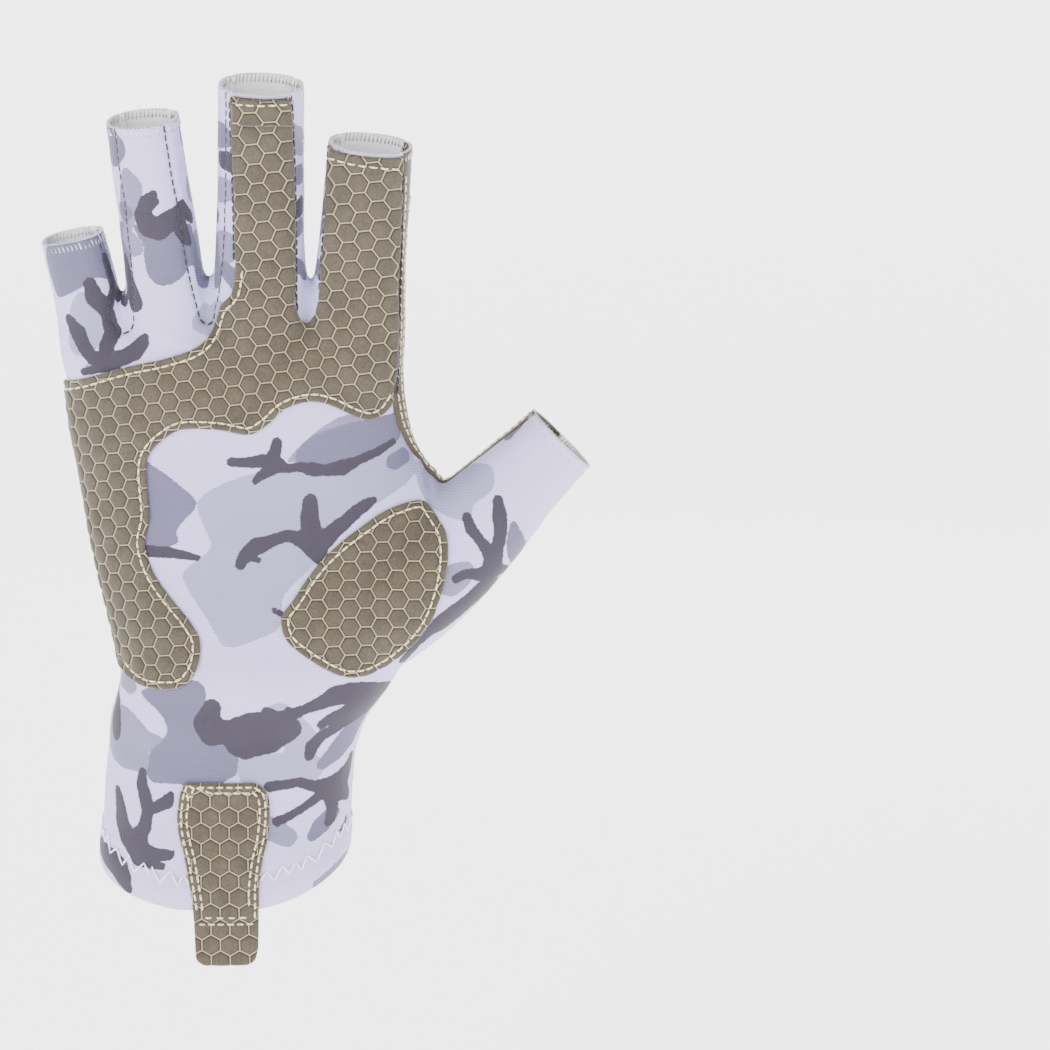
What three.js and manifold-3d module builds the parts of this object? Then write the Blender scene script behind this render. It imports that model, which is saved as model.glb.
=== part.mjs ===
// A fingerless stretch glove for the right hand, held open as a hand holds it.
// Palm towards -Y, fingers up +Z, thumb towards +X. The origin is the middle of the cuff's opening.
// All lengths are in millimetres.

import * as THREE from 'three';
import { mergeVertices } from 'three/addons/utils/BufferGeometryUtils.js';
import Module from 'manifold-3d';

const wasm = await Module();
wasm.setup();

// Driving dimensions.
const CUFF_WIDTH = 67.5;
const CUFF_DEPTH = 46;
const CUFF_LENGTH = 44; // cuff edge to the heel of the hand
const CUFF_DIP = 11; // how far the palm side of the cuff edge hangs below its sides
const CUFF_BACK_DIP = 2;
const PALM_LENGTH = 88; // heel of the hand to the roots of the fingers
const KNUCKLE_WIDTH = 88.5;
const KNUCKLE_DEPTH = 28;
const CURL_RADIUS = 300; // the fingers bend towards the palm on this arc
const CLOTH = 1.2; // thickness of the stretch cloth
const GRIP_SUEDE = 1.1; // thickness of the suede patches
const GAP = 0.3; // between pieces that are sewn to each other
const FOURCHETTE_WIDTH = 13; // cloth strips between the fingers
const GUSSET_WIDTH = 9; // suede strip on the side of the index finger
const THUMB_ROOT_ACROSS = 50;
const THUMB_ROOT_UP = 71;
const THUMB_LENGTH = 56.5;
const THUMB_WIDTH = 21.4;
const THUMB_DEPTH = 20;
const THUMB_LEAN = 45; // degrees from straight up
const THUMB_FORWARD = 3; // how far the thumb stands towards the palm side
const HEM_HEIGHT = 8;
const HEM_CLOTH = 1;
const TAB_WIDTH = 24.6;
const TAB_LENGTH = 49;
const TAB_OFFSET = 1.5; // middle of the tab, towards the thumb
const TAB_TOP = 22.4; // upper edge of the tab above the cuff edge
const FLAP_LENGTH = 8;
const FINGER_TOP_MARGIN = 2.5; // bare cloth above the suede at a finger's opening

// Fingers: root across the palm, then reach, width and depth.
const FINGERS = {
  index: { across: 35.5, reach: 55.7, width: 23.3, depth: 18.5 },
  middle: { across: 10.6, reach: 70.2, width: 23, depth: 19 },
  ring: { across: -11.3, reach: 61.8, width: 20, depth: 17.5 },
  pinky: { across: -30.4, reach: 32.5, width: 17.6, depth: 16 },
};

// Lean of each finger from straight up, in degrees, towards the thumb.
const FINGER_LEAN_DEGREES = { index: 5.9, middle: 3, ring: -4.4, pinky: -10 };

// Sections of the cuff: height as a share of its length, sides and faces as shares of its width and depth.
const CUFF_ROWS = [
  { up: -1, left: 0.51, right: 0.49, palm: 0.5, back: 0.5 },
  { up: 0, left: 0.51, right: 0.49, palm: 0.5, back: 0.5 },
  { up: 0.23, left: 0.491, right: 0.493, palm: 0.47, back: 0.475 },
  { up: 0.45, left: 0.48, right: 0.507, palm: 0.45, back: 0.45 },
  { up: 0.68, left: 0.462, right: 0.532, palm: 0.435, back: 0.425 },
  { up: 0.84, left: 0.449, right: 0.575, palm: 0.44, back: 0.41 },
];

// Sections of the palm: height as a share of its length above the heel, the rest as shares of the knuckles.
const PALM_ROWS = [
  { up: 0, left: 0.316, right: 0.495, palm: 0.735, back: 0.655 },
  { up: 0.07, left: 0.307, right: 0.537, palm: 0.745, back: 0.625 },
  { up: 0.16, left: 0.32, right: 0.575, palm: 0.72, back: 0.59 },
  { up: 0.28, left: 0.347, right: 0.63, palm: 0.67, back: 0.56 },
  { up: 0.42, left: 0.376, right: 0.675, palm: 0.61, back: 0.54 },
  { up: 0.56, left: 0.4, right: 0.695, palm: 0.56, back: 0.53 },
  { up: 0.65, left: 0.414, right: 0.648, palm: 0.54, back: 0.52 },
  { up: 0.72, left: 0.424, right: 0.597, palm: 0.525, back: 0.52 },
  { up: 0.8, left: 0.436, right: 0.567, palm: 0.515, back: 0.515 },
  { up: 0.91, left: 0.446, right: 0.55, palm: 0.485, back: 0.49 },
  { up: 1, left: 0.45, right: 0.548, palm: 0.43, back: 0.44 },
  { up: 1.06, left: 0.438, right: 0.53, palm: 0.37, back: 0.37 },
  { up: 1.095, left: 0.4, right: 0.49, palm: 0.25, back: 0.25 },
];

// Sections of a finger, from inside the palm to the opening, as shares of its reach, width and depth.
const FINGER_ROWS = [
  { along: -0.25, width: 0.9, depth: 1 },
  { along: 0, width: 1.13, depth: 1.24 },
  { along: 0.17, width: 1.1, depth: 1.13 },
  { along: 0.4, width: 1, depth: 1.03 },
  { along: 0.7, width: 0.97, depth: 0.98 },
  { along: 1, width: 0.925, depth: 0.95 },
];

// Sections of the thumb, from inside the palm to the opening.
const THUMB_ROWS = [
  { along: -0.55, width: 0.8, depth: 1 },
  { along: -0.25, width: 1.25, depth: 1.36 },
  { along: 0, width: 1.44, depth: 1.4 },
  { along: 0.18, width: 1.44, depth: 1.32 },
  { along: 0.38, width: 1.34, depth: 1.22 },
  { along: 0.68, width: 1.14, depth: 1.1 },
  { along: 1, width: 1, depth: 1 },
];

const BODY_SIDES = 34;
const FINGER_SIDES = 20;
const THUMB_SIDES = 22;
const BODY_SQUARENESS = 2.3; // exponent of the sections' superellipse, 2 is an ellipse
const FINGER_SQUARENESS = 2.3;
const OPEN_END = 6; // how far the hollow runs out of each opening
const FAR = 400; // reach of the cutting solids
const CURVE_STEPS = 3; // straight pieces for each point of a curved outline
const SAME_PLACE = 0.01;

const ROOT_LINE = CUFF_LENGTH + PALM_LENGTH;
const CURL_START = CUFF_LENGTH + 0.58 * PALM_LENGTH;

// The middle surface of the glove, which the side seams follow: flat, then curled towards the palm.
function foldDepth(up) {
  const past = Math.max(0, up - CURL_START);
  return -past * past / (2 * CURL_RADIUS);
}

function radians(degrees) {
  return degrees * Math.PI / 180;
}

function superellipse(angle, squareness) {
  const cosine = Math.cos(angle);
  const sine = Math.sin(angle);
  return {
    across: Math.sign(cosine) * Math.abs(cosine) ** (2 / squareness),
    through: Math.sign(sine) * Math.abs(sine) ** (2 / squareness),
  };
}

// One ring of points round a centre, counter-clockwise seen from the far end of the loft.
function sectionRing({ centre, across, through, halfWidth, halfDepth, sides, squareness }) {
  const points = [];
  for (let i = 0; i < sides; i += 1) {
    const share = superellipse(2 * Math.PI * i / sides, squareness);
    const point = centre.clone();
    point.addScaledVector(across, halfWidth * share.across);
    point.addScaledVector(through, halfDepth * share.through);
    points.push(point);
  }
  return points;
}

// A closed solid through rings of equally many points.
function loft(rings) {
  const sides = rings[0].length;
  const points = rings.flat();
  const bottom = points.length;
  const top = bottom + 1;
  for (const ring of [rings[0], rings.at(-1)]) {
    const middle = new THREE.Vector3();
    ring.forEach((point) => middle.addScaledVector(point, 1 / sides));
    points.push(middle);
  }
  const last = (rings.length - 1) * sides;
  const triangles = [];
  for (let i = 0; i < sides; i += 1) {
    const next = (i + 1) % sides;
    triangles.push(bottom, next, i);
    triangles.push(top, last + i, last + next);
    for (let start = 0; start < last; start += sides) {
      triangles.push(start + i, start + next, start + sides + next);
      triangles.push(start + i, start + sides + next, start + sides + i);
    }
  }
  const vertProperties = Float32Array.from(points.flatMap((point) => point.toArray()));
  const triVerts = Uint32Array.from(triangles);
  return new wasm.Manifold(new wasm.Mesh({ numProp: 3, vertProperties, triVerts }));
}

function solidOf(geometry) {
  geometry.deleteAttribute('normal');
  geometry.deleteAttribute('uv');
  const merged = mergeVertices(geometry, 1e-4);
  const vertProperties = Float32Array.from(merged.attributes.position.array);
  const triVerts = Uint32Array.from(merged.index.array);
  return new wasm.Manifold(new wasm.Mesh({ numProp: 3, vertProperties, triVerts }));
}

const BODY_TABLE = [
  ...CUFF_ROWS.map((row) => ({
    up: row.up * CUFF_LENGTH,
    left: row.left * CUFF_WIDTH,
    right: row.right * CUFF_WIDTH,
    palm: row.palm * CUFF_DEPTH,
    back: row.back * CUFF_DEPTH,
  })),
  ...PALM_ROWS.map((row) => ({
    up: CUFF_LENGTH + row.up * PALM_LENGTH,
    left: row.left * KNUCKLE_WIDTH,
    right: row.right * KNUCKLE_WIDTH,
    palm: row.palm * KNUCKLE_DEPTH,
    back: row.back * KNUCKLE_DEPTH,
  })),
];

// The body's section at any height, between the rows of its table.
function bodySection(up) {
  const above = Math.max(1, BODY_TABLE.findIndex((row) => row.up >= up));
  const low = BODY_TABLE[above - 1];
  const high = BODY_TABLE[above];
  const share = (up - low.up) / (high.up - low.up);
  const between = (key) => THREE.MathUtils.lerp(low[key], high[key], share);
  return {
    left: between('left'),
    right: between('right'),
    palm: between('palm'),
    back: between('back'),
  };
}

// How far the cuff edge hangs down at a point, from its place between palm side and back.
function edgeDip(through) {
  const dip = through < 0 ? CUFF_DIP : CUFF_BACK_DIP;
  return dip * Math.abs(through) ** 1.6;
}

// A ring of the body; grow moves it outwards, and a ring of the cuff edge dips.
function bodyRing(up, grow, dips = false) {
  const section = bodySection(up);
  const middleDepth = (section.back - section.palm) / 2;
  const centre = new THREE.Vector3((section.right - section.left) / 2, foldDepth(up) + middleDepth, up);
  const ring = sectionRing({
    centre,
    across: new THREE.Vector3(1, 0, 0),
    through: new THREE.Vector3(0, 1, 0),
    halfWidth: (section.left + section.right) / 2 + grow,
    halfDepth: (section.palm + section.back) / 2 + grow,
    sides: BODY_SIDES,
    squareness: BODY_SQUARENESS,
  });
  if (dips) {
    const halfDepth = (section.palm + section.back) / 2 + grow;
    ring.forEach((point) => {
      point.z -= edgeDip(THREE.MathUtils.clamp((point.y - centre.y) / halfDepth, -1, 1));
    });
  }
  return ring;
}

// The hand without fingers. It ends at the cuff edge, or runs on below it.
function bodySolid(grow, runsOn) {
  const rings = [runsOn ? bodyRing(-CUFF_LENGTH, grow) : bodyRing(0, grow, true)];
  const heights = BODY_TABLE.map((row) => row.up).filter((up) => up > (runsOn ? -1 : 0));
  heights.forEach((up) => rings.push(bodyRing(up, grow)));
  rings.at(-1).forEach((point) => {
    point.z += grow;
  });
  return loft(rings);
}

// A point of a finger's middle line, at a share of its reach, with its directions across and through.
function fingerStation(name, along) {
  const finger = FINGERS[name];
  const lean = radians(FINGER_LEAN_DEGREES[name]);
  const distance = along * finger.reach;
  const up = ROOT_LINE + distance * Math.cos(lean);
  const centre = new THREE.Vector3(finger.across + distance * Math.sin(lean), foldDepth(up), up);
  const slope = -Math.max(0, up - CURL_START) / CURL_RADIUS;
  const forward = new THREE.Vector3(Math.sin(lean), slope * Math.cos(lean), Math.cos(lean)).normalize();
  const across = new THREE.Vector3(Math.cos(lean), 0, -Math.sin(lean));
  return { centre, across, through: forward.clone().cross(across), forward };
}

function fingerSolid(name, grow, runsOn) {
  const rings = FINGER_ROWS.map((row) => sectionRing({
    ...fingerStation(name, row.along),
    halfWidth: row.width * FINGERS[name].width / 2 + grow,
    halfDepth: row.depth * FINGERS[name].depth / 2 + grow,
    sides: FINGER_SIDES,
    squareness: FINGER_SQUARENESS,
  }));
  if (runsOn) {
    const { forward } = fingerStation(name, 1);
    rings.push(rings.at(-1).map((point) => point.clone().addScaledVector(forward, OPEN_END)));
  }
  return loft(rings);
}

function thumbStation(along) {
  const lean = radians(THUMB_LEAN);
  const distance = along * THUMB_LENGTH;
  const forward = new THREE.Vector3(Math.sin(lean), 0, Math.cos(lean));
  const centre = new THREE.Vector3(THUMB_ROOT_ACROSS, -THUMB_FORWARD, THUMB_ROOT_UP);
  centre.addScaledVector(forward, distance);
  const across = new THREE.Vector3(Math.cos(lean), 0, -Math.sin(lean));
  return { centre, across, through: new THREE.Vector3(0, 1, 0), forward };
}

function thumbSolid(grow, runsOn) {
  const rings = THUMB_ROWS.map((row) => sectionRing({
    ...thumbStation(row.along),
    halfWidth: row.width * THUMB_WIDTH / 2 + grow,
    halfDepth: row.depth * THUMB_DEPTH / 2 + grow,
    sides: THUMB_SIDES,
    squareness: FINGER_SQUARENESS,
  }));
  if (runsOn) {
    const { forward } = thumbStation(1);
    rings.push(rings.at(-1).map((point) => point.clone().addScaledVector(forward, OPEN_END)));
  }
  return loft(rings);
}

// The whole hand form, offset outwards by grow. One that runs on passes through its openings.
function handSolid(grow, runsOn = false) {
  let hand = bodySolid(grow, runsOn).add(thumbSolid(grow, runsOn));
  for (const name of Object.keys(FINGERS)) {
    hand = hand.add(fingerSolid(name, grow, runsOn));
  }
  return hand;
}

// A layer of sheet that lies on the hand form, at a height above it.
function layer(height, thickness) {
  return handSolid(height + thickness, true).subtract(handSolid(height, true));
}

// Everything between two offsets from the middle surface, over the glove's full width.
function slab(from, to) {
  const steps = 14;
  const heights = [-FAR];
  for (let i = 0; i <= steps; i += 1) {
    heights.push(CURL_START + i * 1.4 * PALM_LENGTH / steps);
  }
  const points = heights.map((up) => new THREE.Vector2(foldDepth(up) + to, up));
  heights.reverse().forEach((up) => points.push(new THREE.Vector2(foldDepth(up) + from, up)));
  const geometry = new THREE.ExtrudeGeometry(new THREE.Shape(points), { depth: 2 * FAR, bevelEnabled: false });
  geometry.applyMatrix4(new THREE.Matrix4().makeBasis(
    new THREE.Vector3(0, 1, 0),
    new THREE.Vector3(0, 0, 1),
    new THREE.Vector3(1, 0, 0),
  ));
  geometry.translate(-FAR, 0, 0);
  return solidOf(geometry);
}

// An outline seen from the front, cut straight through the glove.
function prism(shape) {
  const geometry = new THREE.ExtrudeGeometry(shape, { depth: 2 * FAR, bevelEnabled: false });
  geometry.rotateX(Math.PI / 2);
  geometry.translate(0, FAR, 0);
  return solidOf(geometry);
}

// A point of an outline, given on a finger, on the thumb or on the palm.
// On a finger or the thumb, along is a share of its length and across of its half width.
// On the palm, along is a share of its length above the heel and across of the knuckles' width.
function outlinePoint({ on, along, across }) {
  if (on === 'palm') {
    return new THREE.Vector2(across * KNUCKLE_WIDTH, CUFF_LENGTH + along * PALM_LENGTH);
  }
  const isThumb = on === 'thumb';
  const station = isThumb ? thumbStation(along) : fingerStation(on, along);
  const halfWidth = (isThumb ? THUMB_WIDTH : FINGERS[on].width) / 2;
  const point = station.centre.clone().addScaledVector(station.across, across * halfWidth);
  return new THREE.Vector2(point.x, point.z);
}

// A closed outline of runs. A run of two points is straight, a longer one is a smooth curve.
function outline(runs) {
  const points = [];
  for (const run of runs) {
    const corners = run.map(outlinePoint);
    const curve = corners.length > 2 && new THREE.SplineCurve(corners).getPoints(CURVE_STEPS * corners.length);
    for (const point of curve || corners) {
      if (!points.length || point.distanceTo(points.at(-1)) > SAME_PLACE) {
        points.push(point);
      }
    }
  }
  if (points[0].distanceTo(points.at(-1)) < SAME_PLACE) {
    points.pop();
  }
  return new THREE.Shape(points);
}

const fingerTop = (finger) => 1 - FINGER_TOP_MARGIN / FINGERS[finger].reach;

// Suede grip patch of the palm: two finger strips, a band under the knuckles, the little-finger side.
const PALM_PATCH = [
  [
    { on: 'index', along: fingerTop('index'), across: 0.74 },
    { on: 'index', along: 0.4, across: 0.8 },
    { on: 'palm', along: 0.88, across: 0.52 },
  ],
  [
    { on: 'palm', along: 0.88, across: 0.52 },
    { on: 'palm', along: 0.835, across: 0.41 },
    { on: 'palm', along: 0.885, across: 0.28 },
    { on: 'palm', along: 0.82, across: 0.16 },
    { on: 'palm', along: 0.802, across: 0.01 },
    { on: 'palm', along: 0.78, across: -0.135 },
    { on: 'palm', along: 0.66, across: -0.2 },
    { on: 'palm', along: 0.46, across: -0.206 },
    { on: 'palm', along: 0.31, across: -0.132 },
    { on: 'palm', along: 0.175, across: -0.042 },
    { on: 'palm', along: 0.07, across: -0.07 },
    { on: 'palm', along: 0.03, across: -0.19 },
    { on: 'palm', along: 0.075, across: -0.29 },
  ],
  [
    { on: 'palm', along: 0.09, across: -0.8 },
    { on: 'palm', along: 0.93, across: -0.8 },
  ],
  [
    { on: 'palm', along: 0.945, across: -0.4 },
    { on: 'palm', along: 0.985, across: -0.24 },
    { on: 'palm', along: 1.03, across: -0.06 },
    { on: 'middle', along: 0.2, across: -0.68 },
    { on: 'middle', along: 0.4, across: -0.62 },
  ],
  [
    { on: 'middle', along: fingerTop('middle'), across: -0.62 },
    { on: 'middle', along: fingerTop('middle'), across: 0.68 },
  ],
  [
    { on: 'middle', along: 0.35, across: 0.72 },
    { on: 'palm', along: 1.105, across: 0.262 },
    { on: 'index', along: 0.35, across: -0.8 },
  ],
  [
    { on: 'index', along: 0.6, across: -0.76 },
    { on: 'index', along: fingerTop('index'), across: -0.8 },
  ],
];

// Suede drop on the ball of the thumb.
const THUMB_PATCH = [
  [
    { on: 'thumb', along: 0.312, across: -1.59 },
    { on: 'thumb', along: 0.365, across: -1.14 },
    { on: 'thumb', along: 0.288, across: -0.145 },
    { on: 'thumb', along: 0.106, across: 0.52 },
    { on: 'thumb', along: -0.15, across: 0.91 },
    { on: 'thumb', along: -0.41, across: 0.584 },
    { on: 'thumb', along: -0.508, across: -0.327 },
    { on: 'thumb', along: -0.517, across: -1.53 },
    { on: 'thumb', along: -0.384, across: -1.95 },
    { on: 'thumb', along: -0.15, across: -2.12 },
    { on: 'thumb', along: 0.124, across: -1.94 },
    { on: 'thumb', along: 0.312, across: -1.59 },
  ],
];

// Suede gusset: down the index finger, over the back of the thumb crotch, up the thumb.
const GUSSET = [
  [
    { on: 'index', along: 1.3, across: 0.82 },
    { on: 'index', along: 0.62, across: 0.64 },
    { on: 'index', along: 0.2, across: 0.6 },
    { on: 'palm', along: 0.8, across: 0.52 },
    { on: 'palm', along: 0.6, across: 0.59 },
    { on: 'thumb', along: 0.275, across: 0.126 },
  ],
  [
    { on: 'thumb', along: 0.275, across: 0.126 },
    { on: 'thumb', along: 0.48, across: 0.22 },
    { on: 'thumb', along: 0.75, across: 0.02 },
    { on: 'thumb', along: 1.3, across: 0 },
  ],
  [
    { on: 'palm', along: 1.9, across: 1.15 },
    { on: 'index', along: 1.3, across: 0.82 },
  ],
];

// The zone between two fingers' middle lines, from a little below their crotch.
function crotchZone(left, right, lower) {
  const bottom = -0.02 - lower / FINGERS[left].reach;
  return outline([
    [
      { on: left, along: bottom, across: 0 },
      { on: left, along: 2, across: 0 },
    ],
    [
      { on: right, along: 2, across: 0 },
      { on: right, along: bottom, across: 0 },
    ],
  ]);
}

const PAIRS = {
  fourchette_index_middle: ['middle', 'index'],
  fourchette_middle_ring: ['ring', 'middle'],
  fourchette_ring_pinky: ['pinky', 'ring'],
};

const shell = handSolid(0).subtract(handSolid(-CLOTH, true));

// Where the strips go, and the same grown by the gap, to be cut out of the panels.
const strips = {};
let cutOut = prism(outline(GUSSET)).intersect(slab(-GUSSET_WIDTH / 2 - GAP, FAR));
for (const [name, [left, right]] of Object.entries(PAIRS)) {
  const half = FOURCHETTE_WIDTH / 2;
  strips[name] = shell.intersect(prism(crotchZone(left, right, 0))).intersect(slab(-half, half));
  cutOut = cutOut.add(prism(crotchZone(left, right, GAP)).intersect(slab(-half - GAP, half + GAP)));
}

// The gusset lies inside its cut-out, with the gap kept along its two seams.
function gussetSolid() {
  const panelSide = shell.intersect(prism(outline(GUSSET)).intersect(slab(-GUSSET_WIDTH / 2, FAR)));
  const inset = [[GAP, 0], [0, GAP], [GAP, GAP]];
  return inset.reduce((solid, [across, up]) => solid.intersect(
    prism(outline(GUSSET)).translate([across, 0, up]),
  ), panelSide);
}

function palmPanel() {
  return shell.intersect(slab(-FAR, -GAP / 2)).subtract(cutOut);
}

function backPanel() {
  return shell.intersect(slab(GAP / 2, FAR)).subtract(cutOut);
}

function palmGripPatch() {
  return layer(GAP, GRIP_SUEDE).intersect(prism(outline(PALM_PATCH))).intersect(slab(-FAR, -GAP));
}

function thumbGripPatch() {
  return layer(GAP, GRIP_SUEDE).intersect(prism(outline(THUMB_PATCH))).intersect(slab(-FAR, -GAP));
}

// The flap is a second layer of suede at the top of the middle finger's strip.
function middleFingerFlap() {
  const top = fingerTop('middle');
  const bottom = top - FLAP_LENGTH / FINGERS.middle.reach;
  const shape = outline([
    [
      { on: 'middle', along: top, across: -0.62 },
      { on: 'middle', along: bottom, across: -0.62 },
    ],
    [
      { on: 'middle', along: bottom, across: 0.64 },
      { on: 'middle', along: top, across: 0.64 },
    ],
  ]);
  const onPatch = 2 * GAP + GRIP_SUEDE;
  return layer(onPatch, GRIP_SUEDE).intersect(prism(shape)).intersect(slab(-FAR, -GAP));
}

// Half widths of the pull tab from its top edge to its free end, as shares of its length and width.
const TAB_ROWS = [
  { down: 0, left: 0.34, right: 0.34 },
  { down: 0.04, left: 0.45, right: 0.44 },
  { down: 0.15, left: 0.5, right: 0.5 },
  { down: 0.3, left: 0.49, right: 0.49 },
  { down: 0.5, left: 0.38, right: 0.42 },
  { down: 0.7, left: 0.33, right: 0.38 },
  { down: 0.95, left: 0.31, right: 0.35 },
  { down: 1, left: 0.22, right: 0.27 },
];

function pullTab() {
  const side = (key, sign) => TAB_ROWS.map((row) => new THREE.Vector2(
    TAB_OFFSET + sign * row[key] * TAB_WIDTH,
    TAB_TOP - row.down * TAB_LENGTH,
  ));
  const shape = new THREE.Shape([...side('left', -1), ...side('right', 1).reverse()]);
  const sheet = bodySolid(GAP + GRIP_SUEDE, true).subtract(bodySolid(GAP, true));
  return sheet.intersect(prism(shape)).intersect(slab(-FAR, -GAP));
}

// The hem is the cuff's cloth turned up inside, a low ring with the cuff edge's dip.
function cuffHem() {
  const outside = -CLOTH - GAP;
  const inside = outside - HEM_CLOTH;
  const ring = (up, grow) => bodyRing(up, grow, true);
  const full = loft([ring(0, outside), ring(HEM_HEIGHT, outside)]);
  const hollow = loft([ring(-2 * CUFF_DIP, inside), ring(0, inside), ring(HEM_HEIGHT, inside), ring(2 * HEM_HEIGHT, inside)]);
  return full.subtract(hollow);
}

const stretchCloth = { color: 0xd4d2e0, roughness: 0.85, metalness: 0 };
const whiteCloth = { color: 0xe9e8ee, roughness: 0.9, metalness: 0 };
const gripSuede = { color: 0x8c8270, roughness: 0.95, metalness: 0 };
const plainSuede = { color: 0x857a68, roughness: 0.95, metalness: 0 };

const glove = new THREE.Group();

function addPiece(name, solid, finish) {
  const { vertProperties, triVerts } = solid.getMesh();
  const geometry = new THREE.BufferGeometry();
  geometry.setAttribute('position', new THREE.BufferAttribute(vertProperties, 3));
  geometry.setIndex(new THREE.BufferAttribute(triVerts, 1));
  geometry.computeVertexNormals();
  const mesh = new THREE.Mesh(geometry, new THREE.MeshStandardMaterial(finish));
  mesh.name = name;
  glove.add(mesh);
}

addPiece('palm_panel', palmPanel(), stretchCloth);
addPiece('back_panel', backPanel(), stretchCloth);
for (const [name, strip] of Object.entries(strips)) {
  addPiece(name, strip, stretchCloth);
}
addPiece('thumb_gusset', gussetSolid(), plainSuede);
addPiece('palm_grip_patch', palmGripPatch(), gripSuede);
addPiece('thumb_grip_patch', thumbGripPatch(), gripSuede);
addPiece('middle_finger_flap', middleFingerFlap(), gripSuede);
addPiece('pull_tab', pullTab(), gripSuede);
addPiece('cuff_hem', cuffHem(), whiteCloth);

export default glove;
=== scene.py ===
import math
import random

import bmesh
import bpy
import numpy as np
from mathutils import Matrix, Vector, noise
from mathutils.bvhtree import BVHTree


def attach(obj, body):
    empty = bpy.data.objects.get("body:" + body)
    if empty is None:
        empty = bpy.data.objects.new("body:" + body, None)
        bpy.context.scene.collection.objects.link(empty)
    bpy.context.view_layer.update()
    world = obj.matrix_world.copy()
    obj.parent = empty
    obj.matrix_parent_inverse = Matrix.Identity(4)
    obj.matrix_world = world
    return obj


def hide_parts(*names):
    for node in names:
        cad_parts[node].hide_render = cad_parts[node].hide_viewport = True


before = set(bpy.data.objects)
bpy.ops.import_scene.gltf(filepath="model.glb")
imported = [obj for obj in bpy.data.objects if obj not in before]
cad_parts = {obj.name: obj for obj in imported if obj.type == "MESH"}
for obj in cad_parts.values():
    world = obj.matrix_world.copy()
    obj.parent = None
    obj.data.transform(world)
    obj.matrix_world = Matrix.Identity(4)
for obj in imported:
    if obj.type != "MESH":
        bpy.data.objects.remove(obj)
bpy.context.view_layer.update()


# ---- Panels: the stretch cloth ----
# The glove is cut from printed polyester and elastane jersey: a palm panel and a back panel, joined down
# both sides, with narrow strips between the fingers. They are laid out here in millimetres on the worn
# form, a closed skin that every other piece is laid on too.
MM = 0.001
CUFF_LENGTH = 44
PALM_LENGTH = 88
ROOT_LINE = CUFF_LENGTH + PALM_LENGTH
CURL_START = CUFF_LENGTH + 0.58 * PALM_LENGTH
CURL_RADIUS = 300
CUFF_DIP_PALM = 11
CUFF_DIP_BACK = 2
OPENING_REACH = 1.6
SQUARENESS = 2.3
JERSEY = 0.9
SKIN_GRID = 1.0
SKIN_SMOOTHING = 9
DIGITS = ["index", "middle", "ring", "pinky", "thumb"]

# Height, then how far the form reaches left, right, to the palm side and to the back side.
BODY_ROWS = [
    (-44, 34.4, 33.1, 23, 23), (0, 34.4, 33.1, 23, 23), (10.1, 33.1, 33.3, 21.6, 21.9),
    (19.8, 32.4, 34.2, 20.7, 20.7), (29.9, 31.2, 35.9, 20, 19.6), (37, 30.3, 38.8, 20.2, 18.9),
    (44, 28, 43.8, 20.6, 18.3), (50.2, 27.2, 47.5, 20.9, 17.5), (58.1, 28.3, 50.9, 20.2, 16.5),
    (68.6, 30.7, 55.8, 18.8, 15.7), (81, 33.3, 59.7, 17.1, 15.1), (93.3, 35.4, 61.5, 15.7, 14.8),
    (101.2, 36.6, 57.3, 15.1, 14.6), (107.4, 37.5, 52.8, 14.7, 14.6), (114.4, 38.6, 50.2, 14.4, 14.4),
    (124.1, 39.5, 48.7, 13.6, 13.7), (132, 39.8, 48.5, 12, 12.3), (137.3, 38.8, 46.9, 10.4, 10.4),
    (140.4, 35.4, 43.4, 7, 7),
]
# Root across the palm, lean in degrees, reach, width, depth.
FINGERS = {
    "index": (35.5, 5.9, 55.7, 23.3, 18.5),
    "middle": (10.6, 3, 70.2, 23, 19),
    "ring": (-11.3, -4.4, 61.8, 20, 17.5),
    "pinky": (-30.4, -10, 32.5, 17.6, 16),
}
FINGER_ROWS = [
    (-0.25, 0.9, 1), (0, 1.13, 1.24), (0.17, 1.1, 1.13), (0.4, 1, 1.03), (0.7, 0.97, 0.98), (1, 0.925, 0.95),
]
THUMB = {"root": (50, -3, 71), "lean": 45, "length": 56.5, "width": 21.4, "depth": 20}
THUMB_ROWS = [
    (-0.55, 0.8, 1), (-0.25, 1.25, 1.36), (0, 1.44, 1.4), (0.18, 1.44, 1.32), (0.38, 1.34, 1.22),
    (0.68, 1.14, 1.1), (1, 1, 1),
]


def fold_depth(up):
    """Middle surface of the glove: flat, then curled towards the palm."""
    return -np.maximum(0, up - CURL_START) ** 2 / (2 * CURL_RADIUS)


def table_at(rows, place):
    """A row of a table between its rows, on a smooth curve."""
    table = np.array(rows, float)
    places = table[:, 0]
    place = min(max(place, places[0]), places[-1])
    i = int(min(max(np.searchsorted(places, place), 1), len(places) - 1))
    slopes = np.gradient(table[:, 1:], places, axis=0)
    step = places[i] - places[i - 1]
    t = (place - places[i - 1]) / step
    low, high = table[i - 1, 1:], table[i, 1:]
    return (
        (2 * t**3 - 3 * t**2 + 1) * low
        + (t**3 - 2 * t**2 + t) * step * slopes[i - 1]
        + (3 * t**2 - 2 * t**3) * high
        + (t**3 - t**2) * step * slopes[i]
    )


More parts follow.
